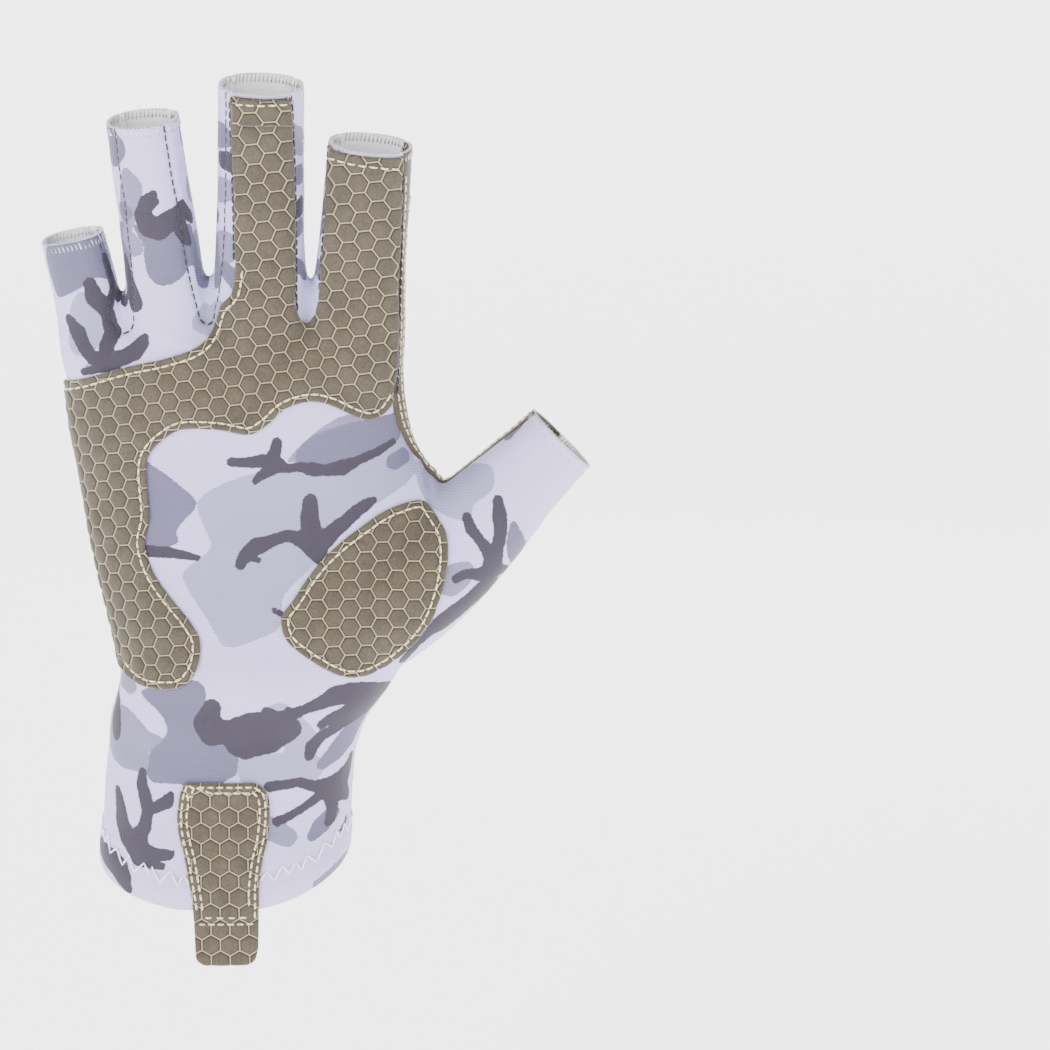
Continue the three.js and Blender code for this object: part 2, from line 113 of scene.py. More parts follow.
def finger_station(name, along):
    """Middle, directions and half sizes of a finger or the thumb at a share of its length."""
    if name == "thumb":
        lean = math.radians(THUMB["lean"])
        forward = Vector((math.sin(lean), 0, math.cos(lean)))
        centre = Vector(THUMB["root"]) + forward * along * THUMB["length"]
        across = Vector((math.cos(lean), 0, -math.sin(lean)))
        wide, deep = table_at(THUMB_ROWS, along) * (THUMB["width"] / 2, THUMB["depth"] / 2)
    else:
        root, lean, reach, width, depth = FINGERS[name]
        lean = math.radians(lean)
        up = ROOT_LINE + along * reach * math.cos(lean)
        centre = Vector((root + along * reach * math.sin(lean), fold_depth(up), up))
        slope = -max(0, up - CURL_START) / CURL_RADIUS
        forward = Vector((math.sin(lean), slope * math.cos(lean), math.cos(lean))).normalized()
        across = Vector((math.cos(lean), 0, -math.sin(lean)))
        wide, deep = table_at(FINGER_ROWS, along) * (width / 2, depth / 2)
    return centre, across, forward.cross(across), wide, deep, forward


def body_station(up):
    left, right, palm, back = table_at(BODY_ROWS, up)
    centre = Vector(((right - left) / 2, fold_depth(up) + (back - palm) / 2, up))
    return centre, Vector((1, 0, 0)), Vector((0, 1, 0)), (left + right) / 2, (palm + back) / 2, None


def stretch_tube(form, stations, sides):
    """A closed tube: a ring of edges drawn through its stations."""
    unit = form.verts.layers.float_vector.get("unit")
    ring = bmesh.ops.create_circle(form, cap_ends=True, radius=1, segments=sides)["verts"]
    for vert in ring:
        angle = math.atan2(vert.co.y, vert.co.x)
        round_part = (math.cos(angle), math.sin(angle))
        vert[unit] = (*[math.copysign(abs(part) ** (2 / SQUARENESS), part) for part in round_part], 0)
    edges = list({edge for vert in ring for edge in vert.link_edges})
    for step, (centre, across, through, wide, deep, _) in enumerate(stations):
        if step:
            geom = bmesh.ops.extrude_edge_only(form, edges=edges)["geom"]
            ring = [item for item in geom if isinstance(item, bmesh.types.BMVert)]
            edges = [item for item in geom if isinstance(item, bmesh.types.BMEdge)]
        for vert in ring:
            vert.co = centre + across * wide * vert[unit].x + through * deep * vert[unit].y
    bmesh.ops.edgeloop_fill(form, edges=edges)


# The tubes start inside each other and end past their openings, where they are cut off later.
form = bmesh.new()
form.verts.layers.float_vector.new("unit")
stretch_tube(form, [body_station(up) for up in np.linspace(BODY_ROWS[0][0], BODY_ROWS[-1][0], 62)], 96)
for name in FINGERS:
    stretch_tube(form, [finger_station(name, along) for along in np.linspace(-0.25, 1.1, 18)], 48)
stretch_tube(form, [finger_station("thumb", along) for along in np.linspace(-0.55, 1.1, 22)], 48)
bmesh.ops.recalc_face_normals(form, faces=form.faces[:])


def finished_object(name, mesh, *materials):
    """An object for a mesh, with its materials, at the origin."""
    piece = bpy.data.objects.new(name, mesh)
    bpy.context.scene.collection.objects.link(piece)
    for material in materials:
        mesh.materials.append(material)
    return piece


def applied(piece):
    """The mesh of an object with its modifiers applied; the object goes."""
    depsgraph = bpy.context.evaluated_depsgraph_get()
    mesh = bpy.data.meshes.new_from_object(piece.evaluated_get(depsgraph))
    bpy.data.objects.remove(piece)
    return mesh


def from_mesh(mesh):
    shape = bmesh.new()
    shape.from_mesh(mesh)
    return shape


rough_form = bpy.data.meshes.new("rough_form")
form.to_mesh(rough_form)
form.free()
rough = finished_object("rough_form", rough_form)
skinned = rough.modifiers.new("Skin", "REMESH")
skinned.mode = "VOXEL"
skinned.voxel_size = SKIN_GRID
skin = from_mesh(applied(rough))
for _ in range(SKIN_SMOOTHING):
    bmesh.ops.smooth_vert(skin, verts=skin.verts, factor=0.5, use_axis_x=True, use_axis_y=True, use_axis_z=True)


def places_of(shape):
    return np.array([vert.co for vert in shape.verts])


def lengths_along(run):
    """Length of a run of points up to each of them."""
    return np.concatenate([[0], np.cumsum(np.linalg.norm(np.diff(run, axis=0), axis=1))])


def distance_to_path(points, path):
    """Distance of many points (x, z) from a path, and the share of the path's length that is nearest."""
    path = np.array(path, float)
    best = np.full(len(points), 1e9)
    share = np.zeros(len(points))
    for i, (a, b) in enumerate(zip(path[:-1], path[1:])):
        along = np.clip(((points - a) @ (b - a)) / max(1e-9, (b - a) @ (b - a)), 0, 1)
        away = np.linalg.norm(points - a - along[:, None] * (b - a), axis=1)
        nearer = away < best
        best[nearer] = away[nearer]
        share[nearer] = (i + along[nearer]) / (len(path) - 1)
    return best, share


# Soft folds of the worn cloth: side, width and height, then where each runs.
FOLDS = [
    ("palm", 1.2, 0.55, [(52.5, 107), (53.2, 102), (54, 96)]),
    ("palm", 1.3, 0.6, [(55.5, 106), (56.5, 101), (57.5, 93)]),
    ("palm", 1.6, -0.4, [(54, 107), (54.8, 102), (55.8, 96)]),
    ("palm", 2.2, 0.45, [(-14, 141), (-9, 137), (-3, 134.5)]),
    ("palm", 1.1, 0.4, [(24.5, 150), (24.7, 146), (24.2, 143)]),
    ("palm", 1.4, 0.35, [(1.5, 147.5), (-0.5, 143), (-3, 139)]),
    ("palm", 5, 0.6, [(-28, 44), (-10, 49), (8, 49), (28, 50)]),
    ("palm", 4, 0.4, [(40, 45), (28, 40), (14, 38)]),
    ("palm", 3.5, 0.3, [(34, 30), (20, 27), (8, 28)]),
    ("palm", 3, 0.3, [(-31, 30), (-22, 26), (-12, 26)]),
    ("back", 3, 0.45, [(44, 47), (30, 44), (12, 45)]),
    ("back", 4, 0.35, [(-28, 50), (-12, 46), (6, 46)]),
    ("back", 1.6, 0.5, [(52, 90), (44, 84), (38, 80)]),
    ("back", 1.6, 0.4, [(50, 97), (44, 95), (38, 95)]),
    ("back", 2, 0.3, [(-34, 96), (-24, 92), (-12, 92)]),
]


def side_of(places):
    """Height of points over the middle surface: below 0 on the palm side."""
    return places[:, 1] - fold_depth(places[:, 2])


# Height and size of the cloth's unevenness between the folds.
UNEVENNESS = [(0.35, 17), (0.12, 6)]
skin.normal_update()
places = places_of(skin)
rise = np.zeros(len(places))
for side, width, height, path in FOLDS:
    away, share = distance_to_path(places[:, [0, 2]], path)
    ends = np.clip(np.minimum(share, 1 - share) * 5, 0, 1)
    on_side = side_of(places) < 0 if side == "palm" else side_of(places) > 0
    rise += np.where(on_side, height * ends * np.exp(-((away / width) ** 2)), 0)
for vert, place, lift in zip(skin.verts, places, rise):
    uneven = sum(height * noise.noise(Vector(place) / size) for height, size in UNEVENNESS)
    vert.co += vert.normal * (lift + uneven)
skin.normal_update()
worn = BVHTree.FromBMesh(skin)


def polygon_depth(points, outline):
    """Signed distance of points (x, z) from a closed outline, positive inside."""
    outline = np.array(outline, float)
    away, _ = distance_to_path(points, np.vstack([outline, outline[:1]]))
    inside = np.zeros(len(points), bool)
    for (ax, az), (bx, bz) in zip(outline, np.roll(outline, -1, axis=0)):
        crosses = (az > points[:, 1]) != (bz > points[:, 1])
        with np.errstate(divide="ignore", invalid="ignore"):
            left = points[:, 0] < (bx - ax) * (points[:, 1] - az) / (bz - az) + ax
        inside ^= crosses & left
    return np.where(inside, away, -away)


def smooth_path(points, closed=False, steps=6):
    """A smooth curve through points (x, z). A point given twice is a corner."""
    points = [Vector(point).to_3d() for point in points]
    count = len(points)
    curve = []
    for i in range(count if closed else count - 1):
        before, start, end, after = (
            points[(i + k) % count] if closed else points[min(max(i + k, 0), count - 1)] for k in (-1, 0, 1, 2)
        )
        if (end - start).length < 1e-6:
            continue
        for step in range(steps):
            t = step / steps
            curve.append(0.5 * (
                2 * start + (end - before) * t + (2 * before - 5 * start + 4 * end - after) * t**2
                + (3 * start - before - 3 * end + after) * t**3
            ))
    if not closed:
        curve.append(points[-1])
    return [(point.x, point.y) for point in curve]


def station_points(name, pairs):
    """Points (x, z) given on a finger or the thumb: share of its length, share of its half width."""
    found = []
    for along, share in pairs:
        centre, across, *_ = finger_station(name, along)
        half = (THUMB["width"] if name == "thumb" else FINGERS[name][3]) / 2
        point = centre + across * share * half
        found.append((point.x, point.z))
    return found


GUSSET_INDEX_SIDE = smooth_path(
    station_points("index", [(1.3, 0.82), (0.62, 0.64), (0.2, 0.6)])
    + [(46, 114.4), (52.2, 96.8)] + station_points("thumb", [(0.275, 0.126)])
)
GUSSET_THUMB_SIDE = smooth_path(station_points("thumb", [(0.275, 0.126), (0.48, 0.22), (0.75, 0.02), (1.3, 0)]))
GUSSET = GUSSET_INDEX_SIDE + GUSSET_THUMB_SIDE + [(101.8, 211.2)]
FOURCHETTE_WIDTH = 13
GUSSET_FRONT = (4, 6)
PINKY_SEAM_SHIFT = 3.4
CROTCHES = {
    "fourchette_index_middle": ("middle", "index"),
    "fourchette_middle_ring": ("ring", "middle"),
    "fourchette_ring_pinky": ("pinky", "ring"),
}


def beside_finger(places, name):
    """How far points stand to the thumb's side of a finger's middle line."""
    root, lean, *_ = FINGERS[name]
    lean = math.radians(lean)
    return (places[:, 0] - root) * math.cos(lean) - (places[:, 2] - ROOT_LINE) * math.sin(lean)


def inside_crotch(places, crotch):
    left, right = CROTCHES[crotch]
    between = np.minimum(beside_finger(places, left), -beside_finger(places, right))
    strip = FOURCHETTE_WIDTH / 2 - np.abs(side_of(places))
    if left == "pinky":
        above = np.clip((places[:, 2] - ROOT_LINE - 12) / 8, 0, 1)
        on_pinky = beside_finger(places, left) < -beside_finger(places, right)
        strip -= np.where((side_of(places) < 0) & on_pinky, PINKY_SEAM_SHIFT * above, 0)
    return np.minimum(np.minimum(between, strip), places[:, 2] - ROOT_LINE + 3)


def inside_gusset(places):
    front_edge = side_of(places) + np.clip(GUSSET_FRONT[0] + (places[:, 2] - 105) / 5, *GUSSET_FRONT)
    return np.minimum(polygon_depth(places[:, [0, 2]], GUSSET), front_edge)


def inside_fourchettes(places):
    return np.max([inside_crotch(places, crotch) for crotch in CROTCHES], axis=0)


def inside_ends(places):
    """How far points are inside the glove's six openings: the cuff's dips over the palm and the back."""
    centre = body_station(0)
    through = np.clip((places[:, 1] - centre[0].y) / centre[4], -1, 1)
    dip = np.where(through < 0, CUFF_DIP_PALM, CUFF_DIP_BACK) * np.abs(through) ** 1.6
    left = places[:, 2] + dip
    for name in DIGITS:
        middle, _, _, wide, _, forward = finger_station(name, 1)
        offset = places - np.array(middle)
        past = offset @ np.array(forward)
        beside = np.linalg.norm(offset - past[:, None] * np.array(forward), axis=1)
        left = np.minimum(left, np.where(beside < OPENING_REACH * wide, -past, 50))
    return left


def cut_along(shape, field, levels, clear=False):
    """Cut a skin where a field of its points passes each level; clear drops what is below."""
    rest = shape.verts.layers.float_vector.get("rest")
    for level in levels:
        places = places_of(shape)
        for vert, height in zip(shape.verts, field(places)):
            vert[rest] = vert.co
            vert.co = (vert.co.x, vert.co.z, height)
        bmesh.ops.bisect_plane(
            shape, geom=shape.verts[:] + shape.edges[:] + shape.faces[:], dist=0.02,
            plane_co=(0, 0, level), plane_no=(0, 0, 1), clear_inner=clear,
        )
        for vert in shape.verts:
            vert.co = vert[rest]


# The extra cuts beside each seam keep the dip along it smooth.
SEAM_CUTS = [0, -0.5, 0.5, -1.2, 1.2]
skin.verts.layers.float_vector.new("rest")
cut_along(skin, inside_ends, [0], clear=True)
for field in (inside_gusset, inside_fourchettes, side_of):
    cut_along(skin, field, SEAM_CUTS)

# Each seam turns the edges of its two pieces in, so the skin dips along it.
SEAM_DIP = 0.55
SEAM_REACH = 1.3
skin.normal_update()
places = places_of(skin)
gusset, strips, side = inside_gusset(places), inside_fourchettes(places), side_of(places)
panels = np.minimum(np.abs(side), np.minimum(-gusset, -strips))
to_seam = np.where(strips > 0, strips, np.where(gusset > 0, gusset, panels))
for vert, away in zip(skin.verts, to_seam):
    if away < SEAM_REACH:
        vert.co -= vert.normal * SEAM_DIP * (1 - max(0, away) / SEAM_REACH) ** 2

# The cuff's hem is turned up inside, so it stands out a little, and its stitches pucker it.
HEM_HEIGHT = 8
HEM_BULGE = 0.35
HEM_PUCKER = 0.5
for vert, place, up in zip(skin.verts, places, inside_ends(places)):
    if up < 14 and place[2] < 20:
        pucker = 0.5 + noise.noise(Vector((place[0] / 3, place[1] / 3, 5)))
        full = HEM_BULGE * math.exp(-(((up - HEM_HEIGHT / 2) / 3) ** 2))
        vert.co += vert.normal * (full - HEM_PUCKER * pucker * math.exp(-(((up - HEM_HEIGHT) / 1.2) ** 2)))
skin.normal_update()

# Every face of the skin belongs to one piece.
middles = np.array([face.calc_center_median() for face in skin.faces])
in_crotch = {crotch: inside_crotch(middles, crotch) > 0 for crotch in CROTCHES}
in_gusset = (inside_gusset(middles) > 0) & ~np.any(list(in_crotch.values()), axis=0)
rest_of = ~in_gusset & ~np.any(list(in_crotch.values()), axis=0)
CUT = {
    "palm_panel": rest_of & (side_of(middles) < 0),
    "back_panel": rest_of & (side_of(middles) >= 0),
    **in_crotch,
    "thumb_gusset": in_gusset,
}

# The print, charted in millimetres: tone, then blobs as closed outlines or as strokes with a radius at
# each point. A later shape lies over an earlier one. The back is charted as the flat cloth.
PALM_PRINT = [
    ("pale", [(-4.5, 95.5), (0, 99.5), (9, 103), (20, 106), (35, 112), (50, 118), (52, 104), (45, 97), (33, 90),
        (26, 80), (18, 72), (17, 64), (12, 61), (3, 58.5), (-1, 64), (-8, 75), (-7, 79), (-1, 84), (-3, 90)]),
    ("pale", [(52, 105), (62, 104), (71, 105), (72, 99), (67, 95), (66, 91), (60, 92), (54, 96)]),
    ("grey", [(19, 106), (24, 112), (31, 117), (36, 118), (40, 114), (30, 110)]),
    ("slate", [(21, 106.5), (24, 112), (31, 115), (40, 117), (49, 118), (49, 113), (44, 109), (35, 105),
        (27, 104)]),
    ("slate", [(-20, 107), (-16.5, 105.5), (-10, 101), (-4.5, 95.5), (-8, 91), (-10, 88), (-10, 85), (-20, 84)]),
    ("slate", [(-14, 48.5), (-6, 50), (-2.5, 47.5), (-3, 41), (0, 37), (4, 33), (6.5, 30), (6.5, 26), (5, 24.5),
        (2, 23), (-1, 20.5), (-8, 21), (-10, 22), (-17, 22), (-19, 24), (-22, 24.5), (-20, 30), (-15, 34),
        (-13, 36), (-14.5, 40), (-19, 44), (-20, 46)]),
    ("grey", [(-30, 40), (-22, 40.5), (-17, 36), (-14, 34), (-18, 30), (-19, 25), (-26, 25), (-30, 29)]),
    ("base", [(-27, 46, 1.2), (-24, 43, 1.6), (-20, 41, 2), (-17, 37, 1.5), (-14.5, 35.5, 1)]),
    ("grey", [(-24.5, 47.5, 2.2), (-23.5, 46.5, 1.6)]),
    ("pale", [(6.5, 31), (14, 30), (22, 31), (27, 27), (25, 22), (13, 21), (6, 23)]),
    ("pale", [(11, 41), (17, 44), (22, 40), (26, 34), (24, 29), (18, 31), (14, 38)]),
    ("slate", [(27, 26, 1.2), (30, 28.5, 1.8), (33, 32, 2), (36, 36.5, 1.6), (38, 39.5, 1)]),
    ("grey", [(12, 12, 1.6), (15, 9.5, 2.4), (18, 7.5, 2)]),
    ("grey", [(28, -3), (33, 0), (36, -2), (34, -9), (27, -8), (24, -6)]),
    ("slate", [(24.3, 7, 1.2), (26.5, 9.5, 1.9), (29, 12, 1.6)]),
    ("grey", [(-21, 181), (-18, 180), (-16, 177), (-16.5, 173), (-18, 169), (-20, 165), (-24, 168)]),
    ("slate", [(-19, 167), (-17, 162), (-16.3, 156), (-15, 153), (-12, 151.5), (-8, 153), (-5, 156.5),
        (-2.5, 157), (-3, 164), (-6, 167), (-10, 165), (-14, 166)]),
    ("slate", [(-43, 161), (-24, 168), (-20, 160), (-23, 153), (-29, 153.5), (-35, 150), (-41, 149)]),
    ("pale", [(-5, 143), (0, 147.5), (5, 146), (3, 139), (-4, 139.5)]),
    ("pale", [(-36, 147), (-31, 150), (-28, 141), (-31, 134), (-37, 135)]),
    ("grey", [(60, 79), (66, 80), (67, 76), (62, 71), (58, 73)]),
    ("slate", [(77, 91), (80, 86), (81, 80), (77, 78), (75.5, 84)]),
    ("slate", [(46.3, 105.7, 1.7), (48.5, 107, 1.7)]),
    ("slate", [(75.5, 112.5, 1.2), (78, 115.5, 1.3)]),
    ("slate", [(-1, 193), (5.5, 192), (7.5, 188), (6, 186.5), (-1, 187)]),
    ("dark", [(2, 183.8, 1.6), (5, 183.2, 2), (7, 182.5, 2)]),
    ("grey", [(-1, 179), (7, 178), (7, 173.5), (-1, 173)]),
    ("grey", [(-1, 165), (6.5, 164.5), (6.5, 158), (-1, 157)]),
    ("slate", [(3.5, 156, 1.5), (6, 153.5, 1.8), (7, 151.5, 1.5)]),
    ("slate", [(20, 178.8, 2), (24, 179.5, 2), (27, 180, 2)]),
    ("dark", [(20.5, 169.5, 1), (23, 170.5, 1.7), (27, 172, 2)]),
    ("slate", [(20.5, 164.5, 1.2), (24, 166, 1.7), (27, 167, 1.6)]),
    ("slate", [(20.5, 155.5, 1.6), (24, 156.5, 1.6), (27, 155, 2)]),
    ("grey", [(20, 189, 3), (27, 188, 3)]),
    ("slate", [(-27, 190, 3.5), (-24, 186, 3.5)]),
    ("slate", [(-23, 171, 1.5), (-21, 170, 1.6)]),
    ("grey", [(-21.5, 164, 2), (-19, 161.5, 2)]),
    ("slate", [(-3.5, 165.5, 1.5), (-2, 161, 2), (-0.5, 157, 2), (0, 153, 2)]),
    ("dark", [(-24, 158, 1.5), (-22, 152, 2), (-20, 147, 2)]),
    ("dark", [(-1, 42.5, 2), (-2.5, 38.3, 2.9), (-1, 36, 3)]),
    ("dark", [(0, 36.3, 2.8), (4, 36, 2.6), (7, 34.2, 4.2), (13, 35, 4), (17, 36.3, 3.2), (19.3, 36.6, 2.3)]),
    ("dark", [(7, 32.5, 3.2), (7.5, 31, 2)]),
    ("dark", [(5, 37.8, 1.8), (9, 40, 1.2), (12.3, 40.6, 0.8)]),
    ("dark", [(13, 37.5, 2), (16, 39.5, 1.6), (19, 40.3, 1.5), (23, 42, 1.1), (27, 43.3, 1.5), (31, 45.2, 2.2),
        (35, 45.4, 2.6), (39, 45.3, 2.4), (44, 45, 1.6)]),
    ("dark", [(16, 40.5, 0.9), (13, 42.2, 0.7)]),
    ("dark", [(18.8, 41.3, 1), (18.8, 42.3, 0.6)]),
    ("dark", [(12.5, 38.6, 1.5), (17, 39.6, 1.5)]),
    ("dark", [(29.5, 37.2, 0.9), (32, 38.6, 1), (36, 40.6, 1.2)]),
    ("dark", [(38, 43, 2), (33.5, 40.5, 1.3), (29, 38.5, 1.2), (26.8, 37.2, 0.8)]),
    ("dark", [(41, 43, 2.2), (36, 39.5, 1.6), (31, 36, 1.1), (27, 34, 1.2), (24.5, 31.5, 1.4),
        (23.8, 28.8, 1.1)]),
    ("dark", [(13.5, 21.3, 1.2), (17, 21.6, 1.1), (21, 22, 1.1), (24.5, 20.6, 1.2), (28, 19.8, 1.9),
        (31.5, 20.5, 2.2), (34, 23, 1.8), (35, 26, 1.3)]),
    ("dark", [(27, 19, 1.8), (31, 18, 2.4), (33.5, 16, 1.6)]),
    ("dark", [(28.3, 18, 1.5), (29.3, 14, 1.2), (28.7, 10.6, 1.1), (28.2, 9.6, 0.8)]),
    ("dark", [(26, 17.5, 1.1), (21.5, 14.6, 0.9), (17.5, 12.7, 1), (15.2, 12, 1), (15.5, 11.2, 0.5)]),
    ("dark", [(31.5, 6.5, 0.6), (33.5, 9, 0.8)]),
    ("dark", [(-20, 24.8, 0.8), (-20.3, 21.5, 1.3), (-19.4, 18.5, 1.5), (-18.7, 14.5, 1.3), (-19.5, 10, 1.5),
        (-22, 6.5, 2.1), (-20, 4, 2.2)]),
    ("dark", [(-18.7, 14.3, 1), (-15.8, 15.8, 1.3), (-13.3, 17.3, 1.5), (-12.4, 19, 0.9)]),
    ("dark", [(-27.3, 19, 0.7), (-26.5, 15, 1.2), (-26, 11, 1.6), (-24.5, 7, 1.9), (-22, 4.5, 2.3)]),
    ("dark", [(-20, 3.5, 2), (-16, 3.3, 1.4), (-13, 3.4, 1.2), (-11.8, 4.1, 0.6)]),
    ("dark", [(-21, 2, 2), (-17.5, 0.8, 1.1), (-14.7, 0.3, 0.8)]),
    ("dark", [(-33, 2.5, 1.5), (-30, 0.5, 2.2), (-27, -1.5, 2.4), (-25.5, -4, 1.9), (-24.3, -6.8, 1)]),
    ("dark", [(-29, 45.5, 0.8), (-28, 42, 1.1), (-27.8, 36, 1.3), (-27.7, 32.5, 0.9)]),
    ("dark", [(4.5, 106.3, 1), (9, 106.1, 1.1), (13, 106.5, 1.5), (15.8, 105.6, 2), (19, 104.5, 1), (22, 105, 1),
        (25.5, 104.2, 1.5), (29, 104, 1.2), (33, 104.6, 1.7), (37, 106.3, 1), (42, 108.4, 0.9),
        (46, 110.8, 0.7)]),
    ("dark", [(15.5, 107, 1.4), (16.4, 111.2, 1.2)]),
    ("dark", [(15, 104.5, 1.4), (12, 102.6, 1), (10.5, 101.2, 0.7)]),
    ("dark", [(6.7, 79.8, 1.2), (8.2, 82.7, 1.4), (11, 84.5, 1.9), (15, 86, 1.3), (19, 87.3, 1.2), (23, 86, 1.8),
        (25.5, 84.5, 2.4), (27, 82, 1.8)]),
    ("dark", [(9, 81.8, 0.9), (11.5, 80.9, 0.5)]),
    ("dark", [(25.2, 87, 2.2), (24.6, 92, 2), (24.8, 96, 1.6)]),
    ("dark", [(28, 85.5, 1.9), (31, 88.6, 1.7), (34, 90.8, 1.5), (36.5, 93.2, 1.4), (39.5, 95.3, 1.2),
        (41, 96, 0.8)]),
    ("dark", [(-20, 82.8, 1.3), (-12, 82.6, 1.2), (-8, 82, 0.9), (-4.5, 81.4, 0.7)]),
    ("dark", [(15.3, 68.2, 0.6), (17.5, 67, 0.7)]),
    ("dark", [(65.2, 92, 1), (66.5, 88.5, 1.3), (68.5, 86, 1.1), (70.5, 83, 1.3), (72, 80, 2), (71, 77, 2)]),
    ("dark", [(73.3, 96.3, 1.1), (73.8, 92, 1.6), (74, 88, 1.4), (73.2, 84, 1.4), (72, 80, 2)]),
    ("dark", [(62.5, 75.8, 1.1), (65, 77, 1), (69, 76.5, 1.7), (73, 77.5, 1.6), (76, 76.5, 1)]),
    ("dark", [(71, 74, 1.8), (66, 69.5, 1.6), (62, 66.5, 1.8), (58, 63.5, 1.8), (55, 61, 1), (52, 58, 0.8),
        (48, 53, 0.7)]),
    ("dark", [(-31, 152, 1.4), (-30, 148.5, 2), (-27.3, 146, 2), (-25, 147.5, 1.2), (-24, 149.3, 1)]),
    ("dark", [(-26.5, 144, 1.8), (-25.8, 139.5, 1.7), (-27.5, 135.5, 1.6), (-27, 133, 1.8)]),
    ("dark", [(-37, 143, 0.9), (-34.7, 139.5, 1.7), (-33, 135.5, 1.5), (-31, 132.7, 1.4), (-27, 132, 1.6),
        (-23, 133, 1.7), (-20, 134.5, 1.8), (-18, 137, 1.5), (-17.3, 138.3, 0.9)]),
    ("dark", [(-33.5, 129.3, 0.8), (-29, 130.3, 1.1), (-25, 131, 1.1)]),
    ("dark", [(-13.3, 174.8, 0.9), (-15.3, 173, 1.4), (-16.2, 169.5, 1.9), (-15, 166.8, 2.3), (-12.5, 166, 2.3),
        (-10, 168, 2.1), (-7.5, 169.5, 2), (-5.5, 171.5, 1.7), (-3.5, 170, 1.6), (-1.5, 169, 1.5)]),
    ("dark", [(-12.7, 173, 0.8), (-14.3, 172, 1)]),
    ("dark", [(-7, 167, 2), (-5.5, 164, 1.8), (-4.3, 163, 1.2)]),
]
